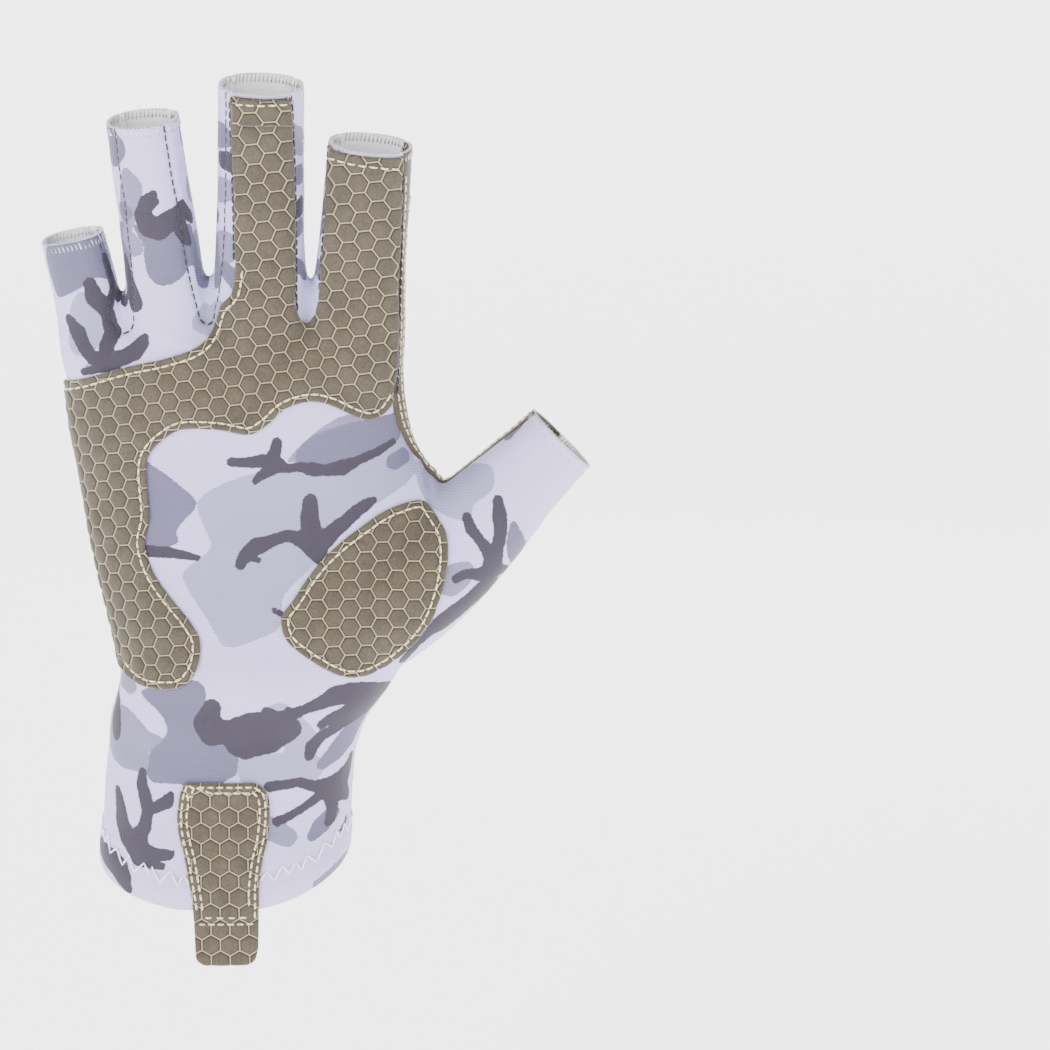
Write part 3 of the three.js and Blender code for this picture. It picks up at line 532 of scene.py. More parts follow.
BACK_PRINT = [
    ("pale", [(28, 136), (40, 129), (34, 124), (22, 119), (10, 118), (0, 120), (-16, 118), (-42, 119), (-44, 132),
        (-30, 141), (-22, 140), (-10, 139), (5, 137), (15, 139)]),
    ("pale", [(37, 28), (33, 33.5), (20, 33), (8, 31), (0, 29), (-10, 31), (-18, 32), (-20, 20), (-14, 13),
        (-6, 14), (5, 16), (13, 16), (13, 18), (33, 18), (36, 22)]),
    ("pale", [(50, 84), (45, 88), (36, 91), (30, 95), (20, 96), (9, 95), (-2, 90), (-10, 94), (-14, 92),
        (-12, 82), (0, 80.5), (10, 80), (15, 88), (20, 85), (26, 80), (33, 80), (37, 84), (45, 83)]),
    ("pale", [(20, -15), (10, -13), (0, -12), (-8, -13), (-14, -11), (-17, -8), (-16, -5), (-9, -4), (-6, -1),
        (-8, 6), (-16, 12), (-22, 4), (-24, -25), (0, -28), (24, -24)]),
    ("pale", [(40, 172), (38, 177), (32, 178.5), (25, 179), (25, 166), (35, 164), (40, 168)]),
    ("pale", [(17, 178), (8, 177), (3, 178), (-2, 174), (-4, 168), (0, 165), (8, 164), (17, 163)]),
    ("pale", [(-12, 161), (-8, 150), (-8, 143), (-22, 141), (-26, 150), (-28, 165), (-20, 159)]),
    ("pale", [(-15, 178), (-14, 168), (-19, 168), (-29, 172), (-30, 179), (-24, 178)]),
    ("pale", [(-38, 152), (-40, 140), (-44, 135), (-50, 145), (-46, 150)]),
    ("grey", [(62, 57), (55, 60), (48, 63), (42, 63.7), (36.5, 62.5), (37, 60), (42, 57.5), (41, 52), (42, 47),
        (46, 45.3), (52, 46), (60, 50)]),
    ("grey", [(48, 42), (44, 39), (40, 40), (36.5, 38), (37, 35), (39, 32), (42, 31), (46, 32), (50, 37)]),
    ("grey", [(45, 22), (42, 22.8), (40, 20), (39, 17.5), (36.5, 16.5), (36, 13.5), (33, 14), (30, 16.3),
        (24, 16), (20, 15.5), (20, 13.5), (25, 12.5), (24.5, 10.5), (23.5, 7.5), (21, 6), (20.5, 2), (22, -2.5),
        (26, -5.5), (28, -4), (29, -2), (32, -2.5), (34.5, 0), (34, 3), (37, 5.5), (37, 0), (38, -3), (41, -7),
        (42.5, -5), (40, -1), (40, 3), (39, 8), (40, 11), (43.5, 12), (46, 17)]),
    ("grey", [(36, -10), (34, -7), (30, -6), (29, -8), (26.5, -9.5), (27, -11), (30, -11.5), (31, -14),
        (33, -16.5), (35, -14), (38, -12)]),
    ("grey", [(44, -18), (38, -19), (35, -17), (35, -20), (40, -22), (44, -21)]),
    ("grey", [(41, -23.5), (36, -23), (32, -25), (31, -27), (36, -27)]),
    ("grey", [(-15, 27), (-19.5, 27.3), (-24, 25), (-22, 14), (-17, 12.8), (-13, 14), (-10, 10.5), (-8, 11),
        (-8, 14), (-12, 15.5), (-14, 18), (-13.5, 21), (-15.5, 22), (-15.5, 25)]),
    ("grey", [(32.5, 77), (31, 78), (27, 77.5), (24.5, 82), (24, 85.3), (22.3, 87.2), (19.5, 85.5), (18, 85.2),
        (15.3, 89.8), (12.8, 85.2), (10.8, 80.5), (2.5, 80.8), (0.3, 78.8), (2.5, 77.6), (9, 75.5), (14.4, 74.3),
        (20.7, 72.8), (25.5, 72.3), (27.5, 74), (30.6, 74)]),
    ("slate", [(16, 58.5), (15.5, 60), (13, 61), (9, 60.7), (2, 62.3), (-3, 61), (-3.5, 58.5), (-2, 53.5),
        (-4, 53.5), (-10, 58.5), (-14, 60), (-16.5, 63), (-15, 66), (-10, 66), (-6, 64.8), (-2, 66), (2, 67),
        (6, 66), (7.8, 66), (7, 68), (0, 69), (-8, 70), (-14, 70.5), (-20.5, 70), (-21.5, 66), (-21, 63),
        (-26, 63.5), (-28, 62), (-28.5, 60.5), (-25.5, 57.5), (-20, 54.5), (-18, 52), (-13.5, 45.5), (-8.7, 37.5),
        (-10.7, 33.5), (-10, 31), (-6.7, 28.5), (-3.5, 28.3), (0, 29), (3.4, 33.5), (10, 35), (13, 37.8),
        (12.2, 38.8), (8.3, 41.5), (8, 44), (9.6, 44.8), (16, 44.8), (16.8, 46), (15.5, 49), (10, 50), (5.4, 52),
        (6.3, 54), (10, 55.5), (15, 56)]),
    ("slate", [(33.5, 96), (25.5, 97), (21, 99.5), (16, 100.8), (6.5, 102), (0, 102), (-8, 100.2), (-18.2, 100.8),
        (-20.2, 98), (-22.2, 97.2), (-34.8, 95.6), (-35.5, 94), (-33.7, 92), (-27, 92), (-19, 92.4),
        (-12.6, 93.6), (-6.7, 95.2), (-7.5, 92.4), (-6.3, 90.2), (0, 90.8), (4.8, 88.8), (9.6, 88.8),
        (13.2, 90.8), (7.2, 93.6), (8.8, 94.8), (20.7, 95.6), (28.7, 95.2)]),
    ("slate", [(3.3, 117.2), (0, 118.8), (-3, 119.6), (-6.3, 121.6), (-11, 121.6), (-13, 119.6), (-12.2, 117.6),
        (-8.6, 116.8), (-9.8, 115.2), (-9, 113.6), (-16.6, 114.4), (-26, 113.6), (-33, 113.6), (-36, 112),
        (-35.2, 109.2), (-31.7, 106), (-23.7, 106.8), (-11, 106), (0, 106), (4.8, 102), (7, 102), (6.5, 106),
        (7, 109.2), (5.6, 112.4), (2.5, 114)]),
    ("grey", [(45, 120, 2.5), (44, 123, 2.5)]),
    ("grey", [(40.5, 158), (36, 160), (32, 163.5), (27, 163.5), (27, 157), (28, 146), (28.5, 143.5), (32, 144),
        (33, 146), (40, 145), (38, 149), (40.5, 152)]),
    ("grey", [(41, 141.5, 1), (37, 141.5, 1.2), (33, 140, 0.9)]),
    ("slate", [(14, 202), (10, 205), (0, 206), (-8, 203), (-6, 190), (-4, 174), (-0.5, 174), (2, 178), (8, 180),
        (10.5, 182.5), (9, 184.5), (6, 186), (5, 188.5), (6.5, 190), (13, 190), (12.5, 193), (8, 194.5),
        (3, 196.5), (3, 199), (8, 200)]),
    ("grey", [(-12, 161), (-13, 165), (-17, 167), (-18.5, 170), (-19, 172.3), (-27, 172.3), (-27.5, 168),
        (-23, 166.5), (-22, 161), (-18, 159), (-14, 159.5)]),
    ("grey", [(-13, 192), (-19, 191), (-17, 187.5), (-13, 185)]),
    ("slate", [(25.5, 170, 1.8), (24, 168, 1.6)]),
    ("slate", [(20, 160, 2.5), (24, 161, 2.5)]),
    ("dark", [(30, 61.5, 0.6), (34, 59.3, 1), (38.5, 57, 1.8), (41, 54, 2), (39.5, 50, 1.6), (35.5, 51, 1.7)]),
    ("dark", [(40, 49, 1.6), (39.5, 45.5, 1.8), (36, 46, 2), (34, 45.5, 1.2)]),
    ("dark", [(37.5, 43, 1.8), (34, 40.5, 2), (31, 40.8, 2.2), (27, 41, 1.8), (23, 42.5, 1.5), (19, 42, 1.2)]),
    ("dark", [(22, 43.5, 1), (20, 46, 1.2), (18, 47, 1.1)]),
    ("dark", [(42, 38, 1.2), (39, 37, 1.3), (36.5, 35.8, 1.7), (32, 35, 1.6), (27, 34.5, 1.7), (23, 35.3, 1.4),
        (20.8, 35.6, 1)]),
    ("dark", [(4.5, 21, 2), (2, 22.3, 2.6), (-1, 23, 2.8), (-4, 22, 2.6), (-7, 21.5, 2), (-9, 22.8, 1),
        (-12, 23, 0.9)]),
    ("dark", [(-6, 20, 2.5), (-5.5, 17, 2.6), (-5, 14, 2.2), (-6.5, 11, 1.3), (-7.2, 7.5, 1.4), (-7.3, 6, 1.1)]),
    ("dark", [(-2, 15, 2), (3, 13.8, 3), (9, 12.5, 2.5), (13, 12.5, 2.3), (16.5, 11, 1.5), (18.7, 10.3, 0.6)]),
    ("dark", [(12.5, 9.5, 3.5), (12, 6, 4.3), (13, 3, 4), (14.5, 0, 3), (14.5, -2, 2.3)]),
    ("dark", [(7, 5, 2), (5, 2.5, 1.4), (2, 1.2, 1.2), (-0.8, 1.7, 1)]),
    ("dark", [(17, -2.5, 1.5), (20.5, -5.5, 1.8), (21.7, -9, 1.9), (21.7, -12.5, 1.8)]),
    ("dark", [(12.5, -3.5, 1.6), (11, -7.5, 1.2), (9.5, -10.5, 1.7), (9, -11.5, 1.6)]),
    ("dark", [(-13, 44, 1), (-15, 43.5, 2.5), (-17.5, 45, 3.3), (-19, 42, 3), (-19.5, 38, 2.6), (-20, 36, 1.8),
        (-22, 36.5, 1.2)]),
    ("dark", [(-18.5, 48, 1), (-22, 50, 1), (-25, 52.5, 1), (-27.5, 55.5, 0.7)]),
    ("dark", [(-22.5, 46.5, 1), (-23.5, 45, 1), (-22.5, 42.5, 1.1)]),
    ("dark", [(-18.8, 1, 1.3), (-19.3, -0.5, 1.4)]),
    ("dark", [(30.5, 122.5, 0.9), (28.5, 121, 1.3), (27, 117.5, 1.7), (24.5, 114.5, 2), (20, 113, 2.8),
        (14, 112.5, 3.2), (8, 113.5, 2), (4, 114.5, 1.4), (2.8, 115, 0.9)]),
    ("dark", [(14, 109, 5), (12, 105.5, 4.5), (9, 104.5, 2.5)]),
    ("dark", [(14, 104, 3), (17, 103.5, 3), (22, 102.5, 2), (27, 100.5, 2), (31, 99, 1.8), (35, 99, 2),
        (38, 99, 2.2)]),
    ("dark", [(41.3, 111, 1.3), (41, 108.5, 1.5), (40, 105.5, 3.2), (39.5, 102, 3), (42, 98, 4), (44, 95, 5),
        (49.5, 91, 3.5), (52, 87, 3), (54, 84, 2.5), (56, 82.5, 2), (59, 80.5, 1.3), (61.5, 78.5, 1.1),
        (62.3, 77, 0.7)]),
    ("dark", [(42, 96, 4), (38, 95, 4), (33, 93.5, 2), (28.5, 91.2, 1.2), (26.5, 90.2, 0.8)]),
    ("dark", [(37, 93, 2), (36.3, 91, 2), (35.8, 88.7, 1.2)]),
    ("dark", [(41, 92, 2.5), (40.8, 88.5, 2), (40.5, 86.8, 1.5)]),
    ("dark", [(52, 83.5, 3), (51, 80, 2.5), (50, 76, 2.3), (49.5, 72.5, 1.6), (47.5, 70, 1.5),
        (47.3, 68.8, 1.2)]),
    ("dark", [(55, 80, 1.6), (57, 75, 1.5), (57, 71, 1.3), (55.5, 67.5, 1.3), (54.5, 63, 1.4), (55, 59.5, 1.2),
        (54.5, 57.8, 0.8)]),
    ("dark", [(58.5, 67, 1), (60.8, 64.5, 1.3), (61, 61.5, 0.9), (60.8, 60.5, 0.5)]),
    ("dark", [(-16.8, 96, 1.2), (-16.5, 92.5, 1.7), (-15.5, 88, 3), (-15, 85, 3), (-16, 81.5, 2.5),
        (-16.5, 80, 1.5)]),
    ("dark", [(-18, 90, 2.6), (-23, 86.5, 2.2), (-27, 86, 1.5), (-30.5, 85.5, 1.3), (-31.3, 85, 0.9)]),
    ("dark", [(-22, 84.5, 2.6), (-23, 80, 3), (-23, 75.5, 2.8), (-23.5, 72, 3), (-26, 70.5, 3), (-28.5, 72, 2.5),
        (-31.5, 75.5, 1), (-32.2, 79, 0.6)]),
    ("dark", [(-23.5, 69, 1.8), (-23.8, 66.5, 0.8)]),
    ("dark", [(-28, 69, 2), (-29, 66.5, 1), (-29.8, 63, 0.5)]),
    ("dark", [(-9.5, 114.3, 0.7), (-13, 115.5, 1), (-17, 116.3, 1.2), (-22, 116.5, 1.6), (-26, 117.3, 2),
        (-30, 116.3, 1.6), (-33, 115.3, 1.8), (-35.5, 113.3, 1.3), (-38, 113.5, 0.9), (-39, 112.5, 0.7),
        (-38.8, 109, 0.5), (-38.3, 105, 0.4)]),
    ("dark", [(-17.5, 128.5, 1), (-20, 127.8, 1.8), (-23, 129.5, 1.2), (-26.5, 131, 1.2), (-29.5, 133, 1.2)]),
    ("dark", [(-34.5, 140, 2.5), (-34, 133, 2.5), (-34.5, 128, 1.9), (-34.5, 124, 1.5), (-34.5, 122.7, 1)]),
    ("dark", [(-36, 134, 1.3), (-40, 133.3, 1.2), (-41.5, 131.5, 1.3)]),
    ("dark", [(-38, 158, 1.5), (-40.5, 155.5, 1.3), (-43.5, 153, 1.2), (-46.5, 150.5, 1), (-47.5, 148.8, 0.6)]),
    ("dark", [(-36.5, 154, 2), (-36, 149, 2.5), (-35, 146, 2), (-34, 143, 1.8), (-35.5, 140, 1.8)]),
    ("dark", [(43, 188.5, 1), (36, 187, 2), (34, 185.5, 2.3), (30, 186.5, 2), (27, 187, 2.2), (25.5, 188, 1.5)]),
    ("dark", [(43, 180, 1.3), (36, 180.3, 1.4), (31, 180.3, 1.5), (25, 181, 1.3)]),
    ("dark", [(29.5, 137, 1.2), (27.5, 140, 1.5), (26, 142, 0.9)]),
    ("dark", [(-2.5, 169.5, 2.3), (2, 169, 2.3), (5.5, 167.8, 1.8)]),
    ("dark", [(14, 160.5, 1.2), (10, 161.5, 1.5), (5, 162, 1.7), (1, 161.5, 2), (-3, 161.5, 2)]),
    ("dark", [(16, 158, 1.8), (12, 158.5, 2.5), (7, 159.5, 2)]),
    ("dark", [(13, 155, 3), (12, 152.5, 2.5), (17, 155, 2), (18, 151, 1.8), (17.5, 146, 1.4), (17, 141, 1.6),
        (16.7, 139, 1.7)]),
    ("dark", [(12, 151, 1.6), (10, 151, 1.3), (7, 149.8, 1.2), (4, 150, 0.9)]),
    ("dark", [(-21, 188.5, 1.5), (-24, 187.5, 2), (-28, 187.5, 2.8), (-28, 183, 2.5), (-27.5, 180, 1.8)]),
    ("dark", [(-16.5, 147.5, 1.6), (-19.5, 147, 2), (-25, 146.8, 1.8)]),
    ("dark", [(-12.3, 168.5, 0.9), (-11, 168.5, 0.8)]),
    ("base", [(-20, 84.5, 1), (-20.3, 84, 1.1)]),
]
TONES = ["pale", "grey", "slate", "dark"]
FINEST_STROKE = 0.75
STROKE_FULLNESS = 1.25


def stroke_depth(points, stroke):
    """Signed distance of points (x, z) from a stroke whose radius runs from point to point."""
    depth = np.full(len(points), -1e9)
    stroke = np.array(stroke, float)
    stroke[:, 2] = np.maximum(stroke[:, 2] * STROKE_FULLNESS, FINEST_STROKE)
    for a, b in zip(stroke[:-1], stroke[1:]):
        line = b[:2] - a[:2]
        along = np.clip(((points - a[:2]) @ line) / (line @ line), 0, 1)
        away = np.linalg.norm(points - a[:2] - along[:, None] * line, axis=1)
        depth = np.maximum(depth, a[2] + along * (b[2] - a[2]) - away)
    return depth


def printed_tones(points, chart):
    """Signed distance of points (x, z) from the edge of each tone, positive inside it."""
    tones = {tone: np.full(len(points), -9.0) for tone in TONES}
    for tone, shape in chart:
        if len(shape[0]) == 3:
            depth = stroke_depth(points, shape)
        else:
            depth = polygon_depth(points, smooth_path(shape, closed=True, steps=4))
        level = TONES.index(tone) if tone in TONES else -1
        if level >= 0:
            tones[tone] = np.maximum(tones[tone], depth)
        for over in TONES[level + 1:]:
            tones[over] = np.minimum(tones[over], -depth)
    return {tone: np.clip(depth, -4, 4) for tone, depth in tones.items()}


# The back's chart is longer than the worn form at the cuff, stands to the thumb's side there, and leans at
# the fingers. Each number with a height says how far up it starts.
LAID_OUT = 7
BACK_LONGER, LONGER_BELOW = 0.417, 60
BACK_SHIFT, SHIFT_BELOW, SHIFT_OVER = 12, 100, 110
BACK_LEAN = 0.155


def flat_places(places, normals):
    """Where points of the worn glove lie on the flat cloth: the sides are laid out past the outline."""
    side = side_of(places)
    x, z = places[:, 0] + np.maximum(0, LAID_OUT - np.abs(side)) * normals[:, 0], places[:, 2]
    back = side > 0
    z_back = z - BACK_LONGER * np.maximum(0, LONGER_BELOW - z)
    shift = BACK_SHIFT * np.clip((SHIFT_BELOW - z) / SHIFT_OVER, 0, 1)
    x_back = x + shift - BACK_LEAN * np.maximum(0, z - ROOT_LINE)
    return np.stack([np.where(back, x_back, x), np.where(back, z_back, z)], axis=1), back


def laid_print(mesh):
    """Keep each point's distance from the tones' edges as attributes of the mesh."""
    places = np.array([vert.co for vert in mesh.vertices]) / MM
    normals = np.array([vert.normal for vert in mesh.vertices])
    flat, back = flat_places(places, normals)
    palm_tones = printed_tones(flat, PALM_PRINT)
    back_tones = printed_tones(flat, BACK_PRINT)
    for tone in TONES:
        layer = mesh.attributes.new("print_" + tone, "FLOAT", "POINT")
        layer.data.foreach_set("value", np.where(back, back_tones[tone], palm_tones[tone]))


def linear(code):
    """An sRGB hex colour as linear RGBA."""
    parts = [int(code[i:i + 2], 16) / 255 for i in (1, 3, 5)]
    return [part / 12.92 if part <= 0.04045 else ((part + 0.055) / 1.055) ** 2.4 for part in parts] + [1]


def add_node(material, kind, inputs=None, **settings):
    """A node with its settings, and its inputs set or linked."""
    node = material.node_tree.nodes.new("ShaderNode" + kind)
    for key, value in settings.items():
        setattr(node, key, value)
    for key, value in (inputs or {}).items():
        if isinstance(value, bpy.types.NodeSocket):
            material.node_tree.links.new(value, node.inputs[key])
        else:
            node.inputs[key].default_value = value
    return node


def mixed(material, factor, first, second, **settings):
    """The colour between two colours."""
    inputs = {"Factor": factor, "A": first, "B": second}
    return add_node(material, "Mix", inputs, data_type="RGBA", **settings).outputs[2]


def object_place(material):
    return add_node(material, "TexCoord").outputs["Object"]


def new_material(name, **shader):
    """A material with its Principled shader, and constants set on the shader's own sockets."""
    material = bpy.data.materials.new(name)
    material.use_nodes = True
    principled = material.node_tree.nodes["Principled BSDF"]
    for key, value in shader.items():
        principled.inputs[key.replace("_", " ")].default_value = value
    return material, principled


def feed(material, socket, output):
    material.node_tree.links.new(output, socket)


# Printed polyester jersey, circular-knitted: matt with a faint sheen. The knit's 0.4 mm courses are drawn
# at 0.7 mm, which is the finest that shows; between them the colour is darkened as painted shade of the knit.
KNIT_PITCH = 0.7 * MM


def bands(material, pitch, direction, distortion, detail=2.0, detail_scale=1.0):
    """Even bands across a direction, one for each pitch."""
    settings = {"Vector": object_place(material), "Scale": 2 * math.pi / pitch / 20, "Distortion": distortion,
                "Detail": detail, "Detail Scale": detail_scale}
    return add_node(material, "TexWave", settings, bands_direction=direction).outputs["Fac"]


def knit_bump(material, strength):
    """Courses and columns of small loops in relief."""
    rows, loops = (bands(material, KNIT_PITCH, direction, 1.2, 1, 2.0) for direction in "ZX")
    knit = add_node(material, "Math", {0: rows, 1: loops}, operation="MULTIPLY")
    return add_node(material, "Bump", {"Height": knit.outputs[0], "Strength": strength, "Distance": 0.12 * MM})


def printed_jersey(name):
    material, shader = new_material(name, Roughness=0.78, Sheen_Weight=0.15, Sheen_Roughness=0.5)
    where = object_place(material)
    drift = add_node(material, "TexNoise", {"Vector": where, "Scale": 45.0, "Detail": 2.0}).outputs["Fac"]
    colour = mixed(material, drift, linear("#c4bbe8"), linear("#b8afdf"))
    ripple = add_node(material, "TexNoise", {"Vector": where, "Scale": 900.0, "Detail": 1.0})
    wander = add_node(material, "MapRange", {"Value": ripple.outputs["Fac"], "From Min": 0.3, "From Max": 0.7,
                      "To Min": -0.12, "To Max": 0.12})
    for tone, first, second in [("pale", "#9492b4", "#8a88aa"), ("grey", "#7b7896", "#716e8e"),
                                ("slate", "#615e7b", "#575470"), ("dark", "#30283a", "#272030")]:
        depth = add_node(material, "Attribute", attribute_name="print_" + tone)
        edge = add_node(material, "Math", {0: depth.outputs["Fac"], 1: wander.outputs[0]}, operation="ADD")
        mask = add_node(material, "MapRange", {"Value": edge.outputs[0], "From Min": -0.14, "From Max": 0.14},
                        interpolation_type="SMOOTHSTEP")
        ink = mixed(material, drift, linear(first), linear(second))
        colour = mixed(material, mask.outputs[0], colour, ink)
    # The courses also darken the colour in bands: painted shade of the knit's relief.
    rows = bands(material, KNIT_PITCH, "Z", 2.5, 2, 3.0)
    shade = add_node(material, "MapRange", {"Value": rows, "To Min": 0.84, "To Max": 1.0})
    course_shaded_colour = mixed(material, 1.0, colour, shade.outputs[0], blend_type="MULTIPLY")
    feed(material, shader.inputs["Base Color"], course_shaded_colour)
    feed(material, shader.inputs["Normal"], knit_bump(material, 0.5).outputs[0])
    return material


# The unprinted inside of the same jersey: white, brushed and matt.
def plain_jersey(name, code):
    material, shader = new_material(name, Roughness=0.85, Sheen_Weight=0.2, Sheen_Roughness=0.5)
    drift = add_node(material, "TexNoise", {"Vector": object_place(material), "Scale": 120.0, "Detail": 3.0})
    tint = mixed(material, drift.outputs["Fac"], linear(code), linear("#f2f2f4"))
    feed(material, shader.inputs["Base Color"], tint)
    feed(material, shader.inputs["Normal"], knit_bump(material, 0.3).outputs[0])
    return material


jersey = printed_jersey("printed_jersey")
inside = plain_jersey("white_jersey_inside", "#e6e5ea")


def thick_piece(name, shape, materials, thickness, layer):
    """A piece from a sheet in millimetres, with its thickness inwards; the last material is its inside."""
    bmesh.ops.scale(shape, vec=(MM, MM, MM), verts=shape.verts)
    for face in shape.faces:
        face.smooth = True
    mesh = bpy.data.meshes.new(name + "_piece")
    shape.to_mesh(mesh)
    shape.free()
    piece = finished_object(name + "_piece", mesh, *materials)
    shell = piece.modifiers.new(layer, "SOLIDIFY")
    shell.thickness = thickness * MM
    shell.offset = -1
    shell.material_offset = shell.material_offset_rim = len(materials) - 1
    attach(piece, "root")
    return piece


def cut_piece(name, faces, materials, thickness=JERSEY, under=0.0):
    """One piece of cloth: its faces of the skin, or of a skin that lies under it."""
    shape = skin.copy()
    shape.faces.ensure_lookup_table()
    gone = [face for face, kept in zip(shape.faces, faces) if not kept]
    bmesh.ops.delete(shape, geom=gone, context="FACES")
    bmesh.ops.dissolve_degenerate(shape, dist=0.02, edges=shape.edges)
    if under:
        for vert in shape.verts:
            vert.co -= vert.normal * under
    return thick_piece(name, shape, materials, thickness, "Cloth")


for node in ("palm_panel", "back_panel", *CROTCHES):
    piece = cut_piece(node, CUT[node], (jersey, inside))
    laid_print(piece.data)
    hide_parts(node)


# ---- Thumb gusset ----
# A strip of plain suede down the thumb side of the index finger, round the thumb crotch and up the back of
# the thumb. It is sewn in flat and edged with two rows of cream thread.
def suede(name, nap_light, nap_dark, roughness=0.95):
    """Microfibre suede: short brushed nap, no gloss, mottled where the nap lies two ways."""
    material, shader = new_material(name, Roughness=roughness, Sheen_Weight=0.35, Sheen_Roughness=0.4)
    where = object_place(material)
    nap = add_node(material, "TexNoise", {"Vector": where, "Scale": 1900.0, "Detail": 3.0, "Roughness": 0.75})
    drift = add_node(material, "TexNoise", {"Vector": where, "Scale": 160.0, "Detail": 3.0})
    spread = add_node(material, "MapRange", {"Value": nap.outputs["Fac"], "From Min": 0.3, "From Max": 0.7})
    mottle = add_node(material, "MapRange", {"Value": drift.outputs["Fac"], "From Min": 0.3, "From Max": 0.7})
    both = add_node(material, "Mix", {"Factor": 0.35, "A": spread.outputs[0], "B": mottle.outputs[0]})
    colour = mixed(material, both.outputs[0], linear(nap_dark), linear(nap_light))
    bump = add_node(material, "Bump", {"Height": nap.outputs["Fac"], "Strength": 0.6, "Distance": 0.18 * MM})
    feed(material, shader.inputs["Normal"], bump.outputs[0])
    return material, shader, colour


plain_suede, plain_shader, plain_colour = suede("plain_suede", "#5b5345", "#352f26")
feed(plain_suede, plain_shader.inputs["Base Color"], plain_colour)
gusset = cut_piece("thumb_gusset", CUT["thumb_gusset"], (plain_suede, plain_suede), 1.0)
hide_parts("thumb_gusset")


# ---- Palm grip patch ----
# Microfibre suede pressed with a honeycomb of 4.85 mm cells, laid over the index and middle fingers, under
# the knuckles and down the little-finger side, and sewn on near its edge.
CELL = 4.85
GROOVE = 0.22
CELL_STEPS = [(GROOVE / 2, 0), (0.16, 0.2), (0.24, 0.34), (0.8, 0.44)]
SUEDE_BASE = 0.75

S_CURVE = smooth_path([
    (46.6, 122.5), (44, 118.5), (40.3, 116.7), (36.3, 117.7), (30.1, 120.8), (24.8, 121.8), (18.6, 119.9),
    (14.1, 115.9), (9.2, 113.3), (1.5, 114.6), (-7.2, 114.8), (-11.7, 112.8), (-16.1, 108.7), (-17.6, 103.5),
    (-17, 91.8), (-18.3, 84.7), (-16.1, 77.4), (-11.7, 71.2), (-6.4, 65), (-3.7, 59.7), (-4.7, 52.6), (-9, 47.9),
    (-17, 47.1), (-22.5, 48.5), (-27, 51.5),
], steps=4)
TOP_EDGE = smooth_path([(-42, 126.2), (-35.2, 127.3), (-21.3, 130.8), (-12.9, 132.6), (-3.9, 135.7), (0, 139.7),
                        (2.3, 145.9), (5.6, 149.8), (6.8, 156)], steps=4)
MIDDLE_STRIP = [(7, 170), (7.2, 185), (7.6, 204), (22, 204), (21.9, 185), (21.6, 165), (21.2, 150)]
CROTCH_EDGE = smooth_path([(20.9, 150), (21.3, 144.5), (23.8, 141.4), (26.6, 144), (28, 150)], steps=4)
INDEX_STRIP = [(28.9, 160), (30, 170), (31.2, 190), (49.8, 190), (49.4, 183), (48.3, 160), (47.2, 135)]
PALM_OUTLINE = S_CURVE + [(-48, 55), (-48, 125.5)] + TOP_EDGE + MIDDLE_STRIP + CROTCH_EDGE + INDEX_STRIP
SUEDE_TOP = 0.4


def honeycomb_cell(pointed_up):
    """One cell in relief: groove floor, steep wall, shoulder and a slightly puffed top."""
    cell = bmesh.new()
    ring = bmesh.ops.create_circle(cell, cap_ends=True, radius=1, segments=6)["verts"]
    radius = CELL / math.sqrt(3)
    for i, vert in enumerate(ring):
        angle = math.radians(60 * i + (30 if pointed_up else 0))
        vert.co = (radius * math.cos(angle), radius * math.sin(angle), 0)
    bmesh.ops.subdivide_edges(cell, edges=cell.edges, cuts=2)
    bmesh.ops.recalc_face_normals(cell, faces=cell.faces)
    top = cell.faces[:]
    if top[0].normal.z < 0:
        bmesh.ops.reverse_faces(cell, faces=top)
    for thickness, height in CELL_STEPS:
        bmesh.ops.inset_individual(cell, faces=top, thickness=thickness, depth=0)
        for vert in top[0].verts:
            vert.co.z = height
    bmesh.ops.poke(cell, faces=top)
    raised = [vert for vert in cell.verts if vert.co.z > 0.1]
    for _ in range(2):
        bmesh.ops.smooth_vert(cell, verts=raised, factor=0.5, use_axis_x=True, use_axis_y=True, use_axis_z=False)
    return cell


def honeycomb_sheet(outline, corners, turn=0, pointed_up=False, shift=(0, 0)):
    """Cells side by side, inside an outline (x, z) of the flat sheet or near it."""
    sheet = honeycomb_cell(pointed_up)
    first = sheet.verts[:] + sheet.edges[:] + sheet.faces[:]
    step = CELL * math.sqrt(3) / 2
    turned = Matrix.Rotation(math.radians(turn), 2)
    spots = []
    for i in range(-40, 41):
        for j in range(-40, 41):
            spot = (CELL * (j + (i % 2) / 2), step * i) if pointed_up else (step * i, CELL * (j + (i % 2) / 2))
            spot = turned @ Vector(spot) + Vector(shift)
            if corners[0] < spot.x < corners[1] and corners[2] < spot.y < corners[3]:
                spots.append(spot)
    near = polygon_depth(np.array(spots), outline) > -CELL * 0.7
    rotation = Matrix.Rotation(math.radians(turn), 3, "Z")
    for spot, kept in zip(spots, near):
        if kept:
            copy = bmesh.ops.duplicate(sheet, geom=first)["geom"]
            verts = [item for item in copy if isinstance(item, bmesh.types.BMVert)]
            bmesh.ops.rotate(sheet, verts=verts, cent=(0, 0, 0), matrix=rotation)
            bmesh.ops.translate(sheet, verts=verts, vec=(spot.x, spot.y, 0))
    bmesh.ops.delete(sheet, geom=[item for item in first if isinstance(item, bmesh.types.BMVert)], context="VERTS")
    bmesh.ops.remove_doubles(sheet, verts=sheet.verts, dist=0.05)
    return sheet


NORMAL_REACH = 1.6


def on_front(x, z):
    """Point and outward direction of the worn form, straight behind a point of the palm view."""
    place, normal, _, _ = worn.ray_cast(Vector((x, -120, z)), Vector((0, 1, 0)))
    if place is None:
        place, normal, _, _ = worn.find_nearest(Vector((x, float(fold_depth(z)) - 2, z)))
    return place, smooth_normal(place, normal)


